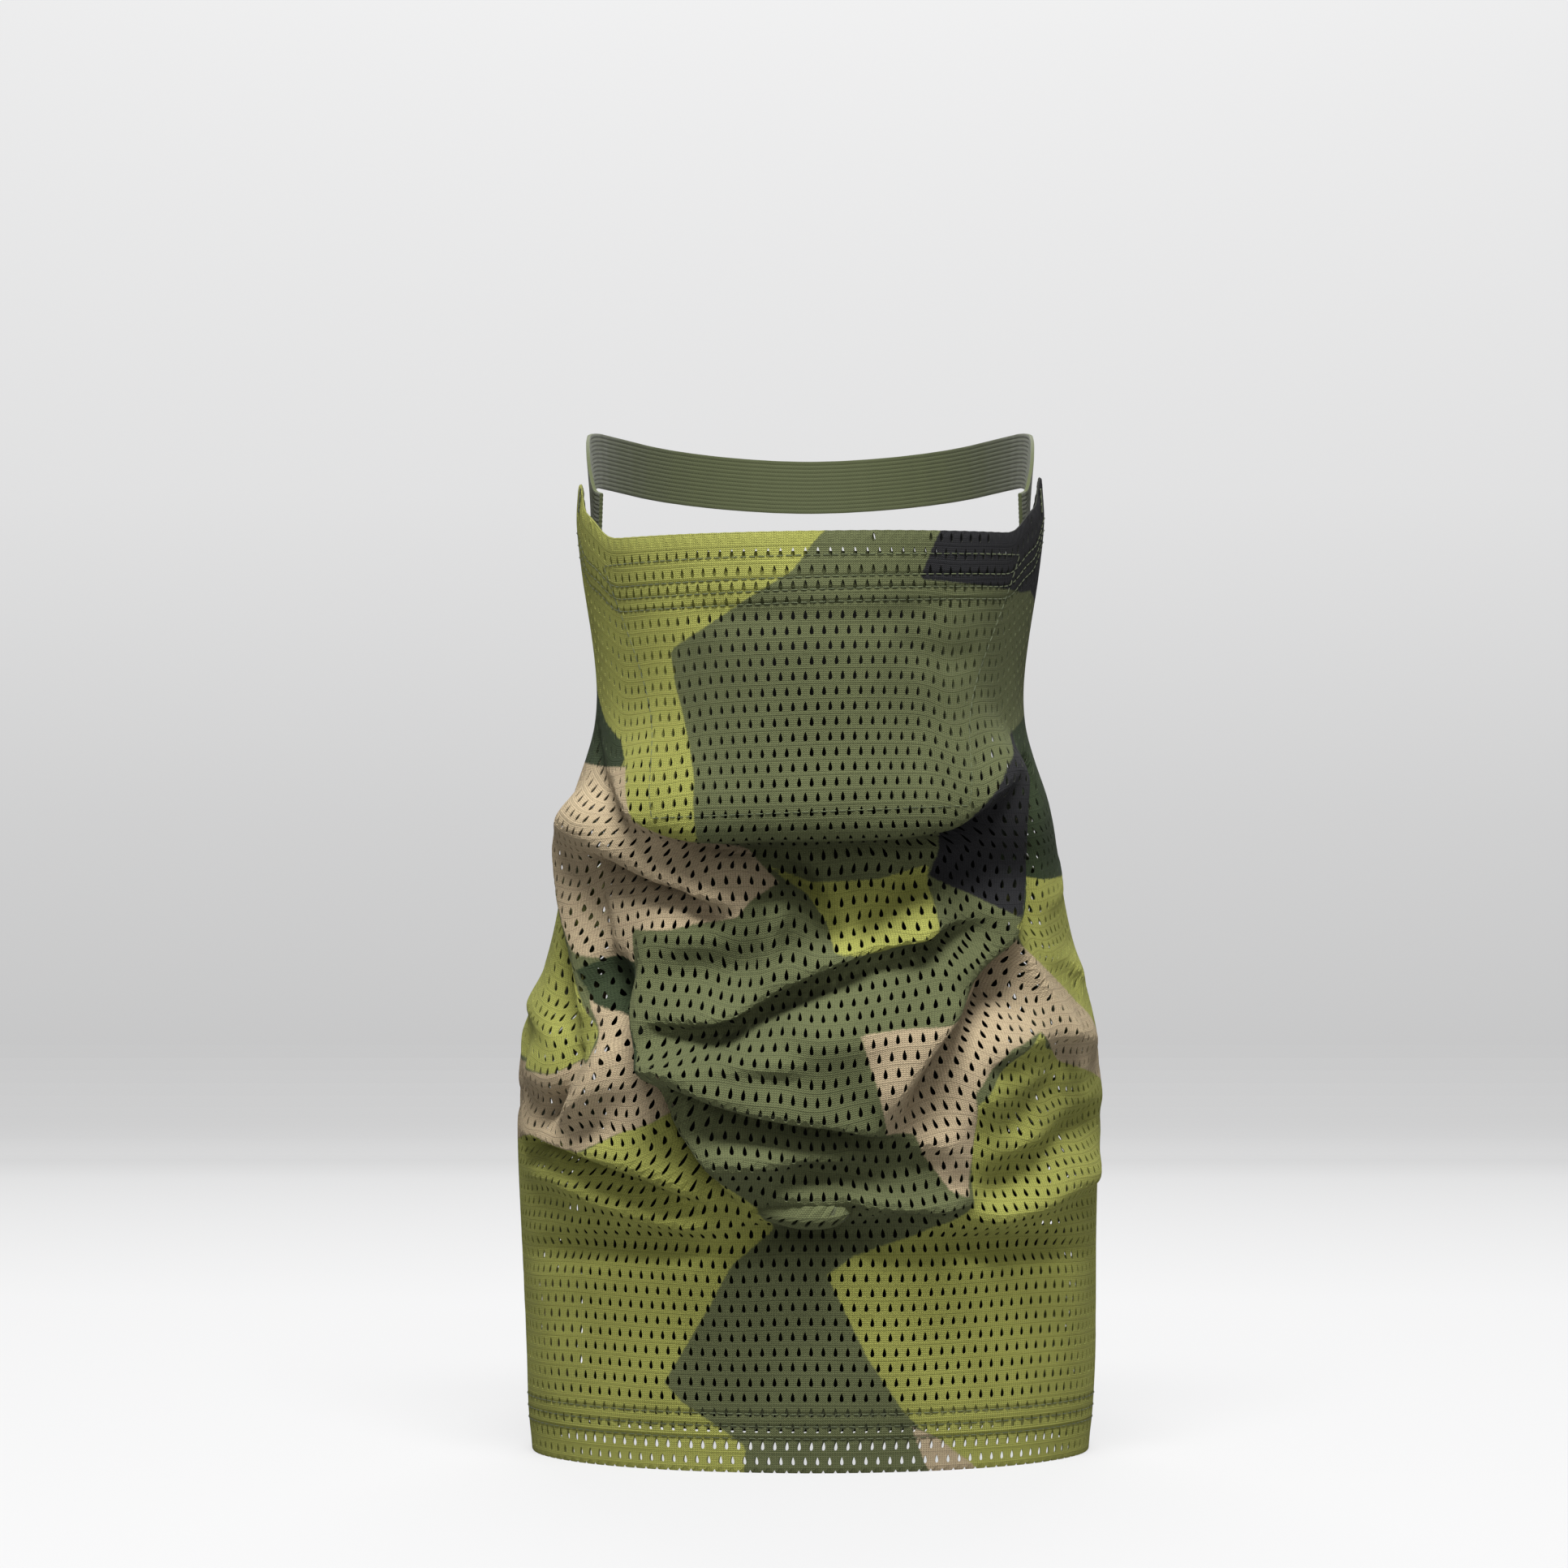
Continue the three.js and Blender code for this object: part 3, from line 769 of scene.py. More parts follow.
def thick_sheet(name, points, faces, flat, pulls, fields, material):
    """A closed sheet: the given faces outside, the same inside, and a rim along every border and hole."""
    used = np.unique([v for f in faces for v in f])
    remap = np.full(len(points), -1)
    remap[used] = np.arange(len(used))
    faces = [[int(remap[v]) for v in f] for f in faces]
    points, flat, pulls = points[used], flat[used], pulls[used]
    count = len(points)
    inner = [[v + count for v in reversed(f)] for f in faces]
    rims = [[b, a, a + count, b + count] for a, b in border_edges(faces)]
    every = faces + inner + rims
    both = np.vstack([points, points - corner_normals(points, faces) * CLOTH])
    obj = add_mesh(name, both, every, material, np.arange(2 * len(faces), len(every)), soft=0.4)
    for key, values in fields.items():
        add_field(obj, key, np.tile(values[used], 2))
    add_field(obj, "inside", np.repeat([0.0, 1.0], count))
    corners = corner_points(obj)
    source, inside = corners % count, corners >= count
    add_map(obj, "knit", flat[source])
    rim = np.arange(len(corners)) >= 2 * sum(len(f) for f in faces)
    low, high = flat.min(0) - 1, flat.max(0) + 1
    spot, pulled = (flat - low) / (high - low), (pulls - low) / (high - low)
    uv = spot[source]
    uv[rim & inside] = 0.5 * (spot + pulled)[source[rim & inside]]
    half = np.where(inside & ~rim, 0.505, 0.005)
    add_map(obj, "OFBake", uv * (0.49, 0.98) + np.stack([half, 0.01 + 0 * half], 1))
    return obj


def camo_fields(turn, height):
    """What the knit's material reads: the distance to each printed colour, the distances from the top edge
    and from the floor, and how deep in a hollow a point lies, which sets the painted shade there."""
    fields = {colour: camo_distance(colour, turn, height) for colour in CAMO}
    fields["below_top"] = np.minimum(top_edge(turn) + hem_climb(turn) - height, 90.0)
    fields["above_floor"] = np.minimum(height, 90.0)
    fields["hollow"] = sample(PAINTED_FOLD_SHADE, turn, np.clip(height, 0, HEIGHTS[-1]))
    return fields


def printed_sheet(name, points, faces, places, pulls, turn, height, material):
    """A thick sheet of knit with its print. Places and pulls are given along the cloth and in rows."""
    flat, pulls = places * (1, ROW_PITCH), pulls * (1, ROW_PITCH)
    return thick_sheet(name, points, faces, flat, pulls, camo_fields(turn, height), material)


def knit_piece(name, panel, rows, material, shape, half_turn=None, top=None):
    """A piece of perforated knit between two rows of a panel. Shape gives points from turn, height and row.
    Half_turn and top give where it ends at the sides and above."""
    places, pulls, cells = knit_cells(*rows, FLAT_REACH)
    turn, height = panel.locate(places[:, 0], places[:, 1])
    half = 90.0 if half_turn is None else half_turn(height)
    excess = [panel.middle - half - turn, turn - panel.middle - half]
    turn = np.clip(turn, panel.middle - half, panel.middle + half)
    if top is not None:
        excess.append(height - top(turn))
        height = np.minimum(height, top(turn))
    faces = cell_faces(cells, np.stack(excess, 1))
    points = shape(turn, height, places[:, 1])
    return printed_sheet(name, points, faces, places, pulls, turn, height, material)


def turned_edge(distance):
    """A sheet folded over an edge: how far along and how far in a point lies, by its distance to the fold."""
    along = np.sqrt(distance**2 + FOLD_ROUND**2) - FOLD_ROUND
    inwards = LAYER * (0.5 - 0.5 * np.tanh(distance / FOLD_ROUND))
    return along, inwards


def skirt_shape(turn, height, row):
    """Lower part of a panel. Its first row wraps round the bottom edge."""
    cloth = (row - 0.5) * ROW_PITCH
    along, inwards = turned_edge(cloth)
    free = ease(cloth, 6, 16)
    return place(turn, height * free + along * (1 - free), -inwards)


def neck_shape(turn, height, row):
    """Middle part of a panel."""
    return place(turn, height)


def face_shape(turn, height, row):
    """Upper part of a panel, rounded over along the top edge."""
    from_edge = np.maximum(top_edge(turn) - height, 0)
    along, inwards = turned_edge(from_edge)
    free = ease(from_edge, 5, 12)
    at = height * free + (top_edge(turn) - along) * (1 - free)
    return place(turn, at, -inwards * (1 - free))


def lining_shape(turn, height, row):
    """The second layer, close behind the outer cloth. It steps in where the top hem lies between them."""
    behind_hem = ease(height, LINING_HIGH[2] - 12, LINING_HIGH[2] - 5)
    return place(turn, height, -0.75 * LAYER - 1.25 * LAYER * behind_hem)


def hem_piece(name, panel, bottom, depth, material):
    """The layer of cloth turned in at an edge. Its holes drift out of step with the layer in front of it,
    from the middle of the panel to the sides."""
    places, pulls, cells = knit_cells(0, int(depth / ROW_PITCH) + 1, FLAT_REACH)
    start = (0.5 if bottom else 0) * ROW_PITCH
    cloth = places[:, 1] * ROW_PITCH * 0.98 + start
    near_row = 3.0 if bottom else panel.top_row - 3.0
    in_step = HOLE_PITCH / 2 if bottom or panel.top_row % 2 == 0 else 0.0
    turn, _ = panel.locate(places[:, 0] * 1.01 + in_step + 0.3, np.full(len(places), near_row))
    excess = np.stack([panel.middle - 90 - turn, turn - panel.middle - 90, cloth - depth], 1)
    turn = np.clip(turn, panel.middle - 90, panel.middle + 90)
    along, inwards = turned_edge(-np.minimum(cloth, depth))
    height = along if bottom else top_edge(turn) - along
    faces = [face[::-1] for face in cell_faces(cells, excess)]
    return printed_sheet(name, place(turn, height, -inwards), faces, places, pulls, turn, height, material)


# ---------------------------------------------------------------- threads


def loft(rings):
    """Points, faces and bake places of a closed skin over rings of points, with capped ends."""
    count, sides = rings.shape[:2]
    points = rings.reshape(-1, 3)
    faces, uv = [], []
    for i in range(count - 1):
        for k in range(sides):
            b = (k + 1) % sides
            faces.append([i * sides + k, (i + 1) * sides + k, (i + 1) * sides + b, i * sides + b])
            u, v = i / count, k / sides
            du, dv = 1 / count, 1 / sides
            uv += [(u, v), (u + du, v), (u + du, v + dv), (u, v + dv)]
    last = (count - 1) * sides
    for cap in (list(range(sides)), [last + k for k in reversed(range(sides))]):
        faces.append(cap)
        start = 1 - 1 / count if cap[0] else 1 - 0.5 / count
        around = [6.28 * k / sides for k in range(sides)]
        uv += [(start + 0.2 / count * math.cos(a), 0.5 + 0.4 * math.sin(a)) for a in around]
    return points, faces, uv


def skin_piece(name, skin, material):
    """A mesh object from a closed skin: its points, its faces and the places where its colours are baked."""
    points, faces, uv = skin
    obj = add_mesh(name, points, faces, material)
    add_map(obj, "OFBake", np.array(uv, np.float32) * 0.98 + 0.01)
    return obj


def tube_along(path, radius, sides=6):
    """A thread that follows a path."""
    path = np.asarray(path, float)
    ahead = unit(np.gradient(path, axis=0))
    aside = unit(np.cross(ahead, np.array([0.13, 0.29, 0.95])))
    over = np.cross(aside, ahead)
    a = np.linspace(0, 2 * math.pi, sides, endpoint=False)
    ring = aside[:, None] * np.cos(a)[None, :, None] + over[:, None] * np.sin(a)[None, :, None]
    return loft(path[:, None] + ring * radius)


# One stitch: share of its length, lift above the cloth and width of the thread, ring by ring.
STITCH_RINGS = [(-0.5, -0.5, 0.4), (-0.38, 0.25, 0.9), (0.0, 0.5, 1.0), (0.38, 0.25, 0.9), (0.5, -0.5, 0.4)]
STITCH_SIDES = 6


def stitches(path, outwards, length=2.4, gap=0.75, radius=THREAD_RADIUS):
    """A row of short stitches lying along a path on the cloth."""
    along = lengths_along(path)
    count = int(along[-1] / (length + gap))
    columns = math.ceil(math.sqrt(count))
    angles = np.linspace(0, 2 * math.pi, STITCH_SIDES, endpoint=False)[:, None]
    points, faces, uv = [], [], []

    for i in range(count):
        middle = (i + 0.5) * along[-1] / count
        size = length * rng.uniform(0.9, 1.06)
        lean = rng.uniform(-0.06, 0.06)
        rings = []
        for share, lift, wide in STITCH_RINGS:
            at = np.clip(middle + share * size, 0, along[-1])
            out = unit(between_points(at, along, outwards))
            ahead = between_points(at + 0.5, along, path) - between_points(at - 0.5, along, path)
            aside = unit(np.cross(out, ahead))
            centre = between_points(at, along, path) + out * radius * (0.5 + lift)
            centre += aside * lean * share * size
            rings.append(centre + wide * radius * (np.cos(angles) * aside + np.sin(angles) * out * 0.8))
        own_points, own_faces, own_uv = loft(np.array(rings))
        base = i * len(own_points)
        points.append(own_points)
        faces += [[v + base for v in face] for face in own_faces]
        corner = np.array([i % columns, i // columns])
        uv += [tuple((corner + 0.92 * np.array(place_uv)) / columns) for place_uv in own_uv]
    return np.vstack(points), faces, uv


def stitch_row(name, turns, heights, body, node):
    """One row of stitches on the cloth."""
    outwards = unit(sample(NORMALS, turns, heights))
    row = skin_piece(name, stitches(place(turns, heights), outwards), THREAD)
    join_model(row, "thread", body, node)


# ---------------------------------------------------------------- materials


class Nodes:
    """Short names for building a node material."""

    def __init__(self, name):
        self.material = bpy.data.materials.new(name)
        self.material.use_nodes = True
        self.tree = self.material.node_tree
        self.bsdf = self.tree.nodes["Principled BSDF"]

    def node(self, kind, **settings):
        made = self.tree.nodes.new(kind)
        for key, value in settings.items():
            setattr(made, key, value)
        return made

    def put(self, value, socket):
        """Gives a socket a number, a colour or what another node sends out."""
        if isinstance(value, bpy.types.NodeSocket):
            self.tree.links.new(value, socket)
        elif isinstance(value, tuple) and socket.type == "RGBA":
            socket.default_value = (*value, 1.0)
        else:
            socket.default_value = value

    def math(self, operation, *values):
        made = self.node("ShaderNodeMath", operation=operation)
        for value, socket in zip(values, made.inputs):
            self.put(value, socket)
        return made.outputs[0]

    def split(self, vector):
        made = self.node("ShaderNodeSeparateXYZ")
        self.put(vector, made.inputs[0])
        return made.outputs

    def attribute(self, name):
        return self.node("ShaderNodeAttribute", attribute_name=name).outputs["Fac"]

    def between(self, value, low, high, to_low=0.0, to_high=1.0):
        made = self.node("ShaderNodeMapRange")
        names = ("Value", "From Min", "From Max", "To Min", "To Max")
        for key, number in zip(names, (value, low, high, to_low, to_high)):
            self.put(number, made.inputs[key])
        return made.outputs["Result"]

    def mix(self, share, a, b):
        """One colour laid over another by a share."""
        made = self.node("ShaderNodeMix", data_type="RGBA")
        self.put(share, made.inputs["Factor"])
        for key, value in (("A", a), ("B", b)):
            self.put(value, [s for s in made.inputs if s.name == key and s.type == "RGBA"][0])
        return [s for s in made.outputs if s.type == "RGBA"][0]

    def noise(self, vector, scale, detail=2.0, rough=0.5):
        made = self.node("ShaderNodeTexNoise")
        names = ("Vector", "Scale", "Detail", "Roughness")
        for key, value in zip(names, (vector, scale, detail, rough)):
            self.put(value, made.inputs[key])
        return made.outputs["Fac"]

    def colour(self, colour, shade):
        """The surface's colour, made lighter or darker by a shade."""
        made = self.node("ShaderNodeVectorMath", operation="SCALE")
        self.put(colour, made.inputs[0])
        self.put(shade, made.inputs["Scale"])
        self.put(made.outputs[0], self.bsdf.inputs["Base Color"])

    def bump(self, height, strength, distance):
        made = self.node("ShaderNodeBump")
        for key, value in (("Height", height), ("Strength", strength), ("Distance", distance)):
            self.put(value, made.inputs[key])
        self.put(made.outputs["Normal"], self.bsdf.inputs["Normal"])

    def hide_from_camera(self, share):
        """The camera sees through the surface where the share is 1. Light and shadow don't change."""
        hidden = self.math("MULTIPLY", share, self.node("ShaderNodeLightPath").outputs["Is Camera Ray"])
        self.put(self.math("SUBTRACT", 1.0, hidden), self.bsdf.inputs["Alpha"])

    def set(self, **values):
        for key, value in values.items():
            self.put(value, self.bsdf.inputs[key.replace("_", " ").title().replace("Ior", "IOR")])


CAMO_COLOURS = {
    "mid": (0.120, 0.133, 0.060),
    "lime": (0.338, 0.346, 0.085),
    "tan": (0.450, 0.357, 0.227),
    "dark": (0.036, 0.051, 0.024),
    "black": (0.022, 0.022, 0.024),
}


def knit_pattern(n):
    """Loops of the knit as a height, from the flat cloth measures in millimetres."""
    flat = n.node("ShaderNodeUVMap", uv_map="knit").outputs["UV"]
    across, up, _ = n.split(flat)
    wale = n.math("SINE", n.math("MULTIPLY", across, 2 * math.pi / 0.85))
    course = n.math("SINE", n.math("MULTIPLY_ADD", up, 2 * math.pi / 0.64, n.math("MULTIPLY", wale, 1.2)))
    fuzz = n.noise(flat, 1.9, 3.0, 0.6)
    loops = n.math("MULTIPLY_ADD", course, 0.5, n.math("MULTIPLY", wale, 0.35))
    loops = n.math("MULTIPLY_ADD", fuzz, 1.6, loops)
    row = n.math("FRACT", n.math("DIVIDE", up, ROW_PITCH))
    from_rib = n.math("MINIMUM", row, n.math("SUBTRACT", 1.0, row))
    rib = n.between(from_rib, 0.0, 0.09, 1.0, 0.0)
    return flat, loops, rib, fuzz


def camo_material(name, brightness=1.0):
    """Printed polyester knit: crisp patches, knit loops, ribs between the rows of holes, a soft sheen.
    Painted shade darkens it in the folds' hollows and along the rows of stitches, and a brightness below 1
    makes a copy in painted shade.
    """
    n = Nodes(name)
    flat, loops, rib, fuzz = knit_pattern(n)
    wobble = n.math("MULTIPLY_ADD", n.noise(flat, 0.9, 3.0, 0.7), 1.6, -0.8)
    colour = CAMO_COLOURS["mid"]
    for key in ("lime", "tan", "dark", "black"):
        edge = n.math("ADD", n.attribute(key), wobble)
        inside = n.between(edge, -0.35, 0.35, 1.0, 0.0)
        colour = n.mix(inside, colour, CAMO_COLOURS[key])
    # Rows of stitches: a groove in the bump, and painted shade that darkens the colour along the groove.
    sewn = 0.0
    rows = [("below_top", row) for row in TOP_ROWS] + [("above_floor", row) for row in BOTTOM_ROWS]
    for key, row in rows:
        away = n.math("ABSOLUTE", n.math("SUBTRACT", n.attribute(key), row))
        sewn = n.math("MAXIMUM", sewn, n.between(away, 0.25, 1.1, 1.0, 0.0))
    tone = n.between(n.noise(flat, 0.045, 3.0, 0.55), 0.25, 0.75, 0.9 * brightness, 1.08 * brightness)
    speck = n.between(n.math("MULTIPLY_ADD", loops, 0.5, fuzz), -0.2, 1.9, 0.36, 1.56)
    shade = n.math("MULTIPLY", tone, speck)
    # Painted shade: the colour darkens in the folds' hollows, down to 0.6, and along the rows of stitches,
    # down to 0.72.
    for where, darkest in ((rib, 0.86), (sewn, 0.72), (n.attribute("hollow"), 0.6)):
        shade = n.math("MULTIPLY", shade, n.between(where, 0, 1, 1.0, darkest))
    reverse = n.mix(n.math("MULTIPLY", n.attribute("inside"), 0.35), colour, (0.13, 0.14, 0.1))
    n.colour(reverse, shade)
    n.set(roughness=n.between(fuzz, 0.2, 0.8, 0.72, 0.92), specular_ior_level=0.12)
    n.set(sheen_weight=0.03, sheen_roughness=0.5)
    height = n.math("MULTIPLY_ADD", rib, 0.9, loops)
    n.bump(n.math("MULTIPLY_ADD", sewn, -3.0, height), 0.6, 0.00025)
    return n.material


def thread_material():
    """Olive polyester sewing thread with a fine, uneven grain."""
    n = Nodes("olive_thread")
    where = n.node("ShaderNodeTexCoord").outputs["Object"]
    grain = n.noise(where, 2600.0, 2.0)
    tone = n.between(n.noise(where, 120.0), 0.3, 0.7, 0.75, 1.2)
    colour = n.mix(grain, (0.08, 0.1, 0.042), (0.15, 0.175, 0.085))
    n.colour(colour, tone)
    n.set(roughness=0.6, sheen_weight=0.2, specular_ior_level=0.4)
    n.bump(grain, 0.4, 0.0001)
    return n.material


def elastic_material():
    """Olive woven elastic with cords along it."""
    n = Nodes("olive_elastic")
    flat = n.node("ShaderNodeUVMap", uv_map="knit").outputs["UV"]
    along, across, _ = n.split(flat)
    weave = n.math("SINE", n.math("MULTIPLY", along, 2 * math.pi / 0.7))
    cord = n.math("SINE", n.math("MULTIPLY", across, 2 * math.pi / 1.55))
    height = n.math("MULTIPLY_ADD", weave, n.math("MULTIPLY", cord, 0.4), n.noise(flat, 3.0))
    n.colour((0.085, 0.098, 0.042), n.between(height, -0.4, 1.4, 0.75, 1.2))
    n.set(roughness=0.8, sheen_weight=0.15, specular_ior_level=0.3)
    n.bump(height, 0.5, 0.0002)
    return n.material


ELASTIC = elastic_material()
CAMO_CLOTH = camo_material("camo_mesh")
# A copy 8 % darker, for the layers inside the tube: the hems, the lining and the seam edges. The darkening is
# painted shade.
CAMO_INNER = camo_material("camo_mesh_inner", 0.92)
THREAD = thread_material()


# ---------------------------------------------------------------- the pieces


def join_model(obj, slot, stretch, *nodes):
    """Hides the CAD nodes that a piece stands for, if any, and fixes the piece to the skirt or the face body.
    A piece of a stretch that bends stays fixed in the world. The slot is not used.
    """
    if nodes:
        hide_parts(*nodes)
    if stretch in BENDS:
        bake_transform(obj)
    else:
        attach(obj, "skirt" if stretch == "skirt" else "face")


def build_panels():
    """Front and back of the tube, in the stretches that move apart."""
    for panel, side, upper in ((FRONT_PANEL, "front_panel", "face"), (BACK_PANEL, "back_panel", "nape")):
        first, chin = panel.skirt_rows, panel.chin_row
        top = panel.top_row + (8 if panel is BACK_PANEL else 0)
        stretches = (
            ("skirt", (0, first), skirt_shape, None),
            ("neck", (first, chin), neck_shape, None),
            (upper, (chin, top), face_shape, top_edge),
        )
        for stretch, rows, shape, limit in stretches:
            knit = knit_piece(f"{side}_{stretch}_knit", panel, rows, CAMO_CLOTH, shape, top=limit)
            join_model(knit, "camo_mesh", stretch, f"{side}_{stretch}")


def build_rolled_pleat():
    """The lowest tip of the middle drape, rolled into a short sausage of cloth."""
    start, end, height, fat, rows = -11.5, 8.0, 92.0, 5.2, 3
    long = (end - start) * TURN_TO_MM
    places, pulls, cells = knit_cells(0, rows, long)
    share = places[:, 1] / rows
    along = places[:, 0] / long + 0.5 + 0.3 * (share - 0.5)
    excess = np.stack([-along, along - 1, -share, share - 1], 1)
    along, share = np.clip(along, 0, 1), np.clip(share, 0, 1)
    around = math.pi * share
    radius = fat * np.sqrt(np.clip(1 - (2 * along - 1) ** 2, 0, 1)) * (0.62 + 0.38 * along)
    turn = start + (end - start) * along
    sag = 3.0 * (along - 0.6) ** 2
    at = height + sag - radius * np.cos(around)
    lift = radius * np.sin(around) * 1.05 + 0.4 - 1.6 * np.abs(np.cos(around)) ** 6
    points, faces = place(turn, at, lift), cell_faces(cells, excess)
    roll = printed_sheet("front_neck_roll", points, faces, places, pulls, turn, at, CAMO_CLOTH)
    join_model(roll, "camo_mesh", "neck")


def build_hems():
    """Cloth turned in at both ends of the tube."""
    bottom_hem = low_high("bottom_hem_front")[1][2]
    for panel, side in ((FRONT_PANEL, "front"), (BACK_PANEL, "back")):
        for end, depth, body in (("bottom", bottom_hem, "skirt"), ("top", TOP_HEM, "face")):
            hem = hem_piece(f"{end}_turn_{side}", panel, end == "bottom", depth, CAMO_INNER)
            join_model(hem, "camo_mesh_inner", body, f"{end}_hem_{side}")


def lining_half(height):
    """Half the turn that the lining spans. It narrows towards the chin."""
    share = (height - LINING_LOW[2]) / (LINING_HIGH[2] - LINING_LOW[2])
    return LINING_TURNS[0] + (LINING_TURNS[1] - LINING_TURNS[0]) * share


def build_lining():
    """Second layer of knit over the nose and mouth. Its holes line up with those of the outer layer."""
    rows = (FRONT_PANEL.chin_row + 1, FRONT_PANEL.top_row)
    level_top = lambda turn: LINING_HIGH[2] + 0 * turn
    lining = knit_piece(
        "face_lining_knit", FRONT_PANEL, rows, CAMO_INNER, lining_shape, half_turn=lining_half, top=level_top
    )
    join_model(lining, "camo_mesh_inner", "face", "face_lining")


def build_hem_stitches():
    """Three rows of thread round each hem."""
    for panel, side in ((FRONT_PANEL, "front"), (BACK_PANEL, "back")):
        turns = panel.middle + np.linspace(-89.4, 89.4, 260)
        for row, down in enumerate(TOP_ROWS, 1):
            heights = top_edge(turns) + hem_climb(turns) - down
            stitch_row(f"top_thread_{side}_{row}", turns, heights, "face", f"top_stitch_{side}_{row}")
            low, high = low_high(f"bottom_stitch_{side}_{row}")
            level = (low[2] + high[2]) / 2 + 0 * turns
            stitch_row(f"bottom_thread_{side}_{row}", turns, level, "skirt", f"bottom_stitch_{side}_{row}")


def build_lining_stitches():
    """The box of thread round the lining, a little inside its edge and leaning up to the wearer's left."""
    inset, climb = 1.2, 2.0
    low, high = LINING_LOW[2] + 1.5, LINING_HIGH[2] - 1.5
    for name, height in (("bottom", low), ("top", high)):
        half = lining_half(height) - inset
        turns = np.linspace(-half, half, 120)
        slope = height + climb * turns / half
        stitch_row(f"lining_thread_{name}", turns, slope, "face", f"lining_stitch_{name}")
    heights = np.linspace(low, high, 80)
    for name, sign in (("right", -1), ("left", 1)):
        turns = sign * (lining_half(heights) - inset)
        stitch_row(f"lining_thread_{name}", turns, heights + sign * climb, "face", f"lining_stitch_{name}")


SEAM_WIDE = 4.2  # how far the joined edges stand inwards
SEAM_THICK = 1.0
SEAM_INSET = 0.6


def seam_flange(name, root, inwards, aside, turn, low):
    """The joined edges themselves: a narrow strip with a slight ripple."""
    corners = []
    for reach, half in ((0, -1), (0.55, -1.1), (1, -0.7), (1, 0.7), (0.55, 1.1), (0, 1)):
        ripple = 0.25 * np.sin(np.arange(len(root)) / 3.1)[:, None] * reach
        corners.append(root + inwards * SEAM_WIDE * reach + aside * (half * SEAM_THICK / 2 + ripple))
    flange = skin_piece(name, loft(np.stack(corners, 1)), CAMO_INNER)
    heights = np.repeat(low + np.arange(len(root)), len(corners))
    for key, values in camo_fields(turn + 0 * heights, heights).items():
        add_field(flange, key, values)
    add_field(flange, "inside", np.ones(len(heights)))
    flat = np.stack([np.arange(len(heights)) % len(corners) * 1.1, heights], 1)
    add_map(flange, "knit", flat[corner_points(flange)])
    return flange


def seam_overlock(name, root, inwards, aside, count):
    """The thread that zigzags round the joined edges."""
    along = np.arange(len(root))
    at = (np.arange(count * 4) + 0.5) / 4 * (len(root) - 1) / count
    reach = np.tile([0.35, 1.0, 1.0, 0.35], count)[:, None]
    half = np.tile([-1.4, -1.0, 1.0, 1.4], count)[:, None]
    zigzag = between_points(at, along, root) + inwards * SEAM_WIDE * 1.07 * reach
    zigzag += between_points(at, along, aside) * half * SEAM_THICK / 2
    return skin_piece(name, tube_along(zigzag, THREAD_RADIUS, 5), THREAD)


def build_seams():
    """The two panels' edges, standing inwards along each side and overlocked together."""
    for side, turn in (("right", -90.0), ("left", 90.0)):
        top = top_edge(turn) - TOP_HEM - 1
        stretches = (("skirt", 24.0, SKIRT_LINE), ("neck", SKIRT_LINE, CHIN_LINE), ("face", CHIN_LINE, top))
        for stretch, low, high in stretches:
            name = f"seam_{side}_{stretch}"
            heights = np.linspace(low, high, int(high - low))
            root = place(turn + 0 * heights, heights, -SEAM_INSET)
            inwards = unit(place(turn, (low + high) / 2, -1) - place(turn, (low + high) / 2, 0))
            aside = unit(np.cross(unit(np.gradient(root, axis=0)), inwards))
            flange = seam_flange(f"{name}_edge", root, inwards, aside, turn, low)
            join_model(flange, "camo_mesh_inner", stretch, name)
            overlock = seam_overlock(f"{name}_overlock", root, inwards, aside, int((high - low) / 1.5))
            join_model(overlock, "thread", stretch)


def strap_line():
    """Middle line of the strap, read round the wearer's head from the CAD strap, in points."""
    points, edges = node_mesh("head_strap", "strap_end_left", "strap_end_right")
    centre = np.array([0.0, 35.0])
    found = []
    for degrees in np.arange(-180, 180, 4):
        a = math.radians(degrees)
        side = np.array([math.cos(a), math.sin(a)])
        square = np.array([-side[1], side[0]])
        offset = points[:, :2] - centre
        cut = crossings(points, edges, offset @ square + 1e-4)
        cut = cut[(cut[:, :2] - centre) @ side > 0] if len(cut) else cut
        if len(cut) >= 4:
            found.append((degrees, cut.min(0) / 2 + cut.max(0) / 2))
    gap = max(range(len(found)), key=lambda i: (found[i][0] - found[i - 1][0]) % 360)
    return [point for _, point in found[gap:] + found[:gap]]


def build_strap():
    """Ribbed elastic strap, sewn inside both corners of the top hem."""
    middle = curve_through(strap_line(), 240)
    ahead = unit(np.gradient(middle, axis=0))
    outwards = middle - np.array([0, -30.0, 0])
    outwards[:, 2] = 0
    upwards = unit(np.cross(outwards, ahead))
    upwards *= np.sign(upwards[:, 2:3])
    square = unit(np.cross(upwards, ahead))
    ribs = 13
    across = np.linspace(-0.5, 0.5, 4 * ribs + 1)
    swell = 0.5 * STRAP_THICK * (0.82 + 0.18 * np.abs(np.cos(across * ribs * math.pi)))
    section = list(zip(across, swell)) + list(zip(across[::-1], -swell[::-1]))
    rings = np.stack([middle + upwards * a * STRAP_WIDE + square * s for a, s in section], 1)
    band = skin_piece("elastic_strap", loft(rings), ELASTIC)
    widths = np.tile([a * STRAP_WIDE for a, _ in section], len(middle))
    flat = np.stack([np.repeat(lengths_along(middle), len(section)), widths], 1)
    add_map(band, "knit", flat[corner_points(band)])
    join_model(band, "elastic", "strap", "head_strap", "strap_end_left", "strap_end_right")


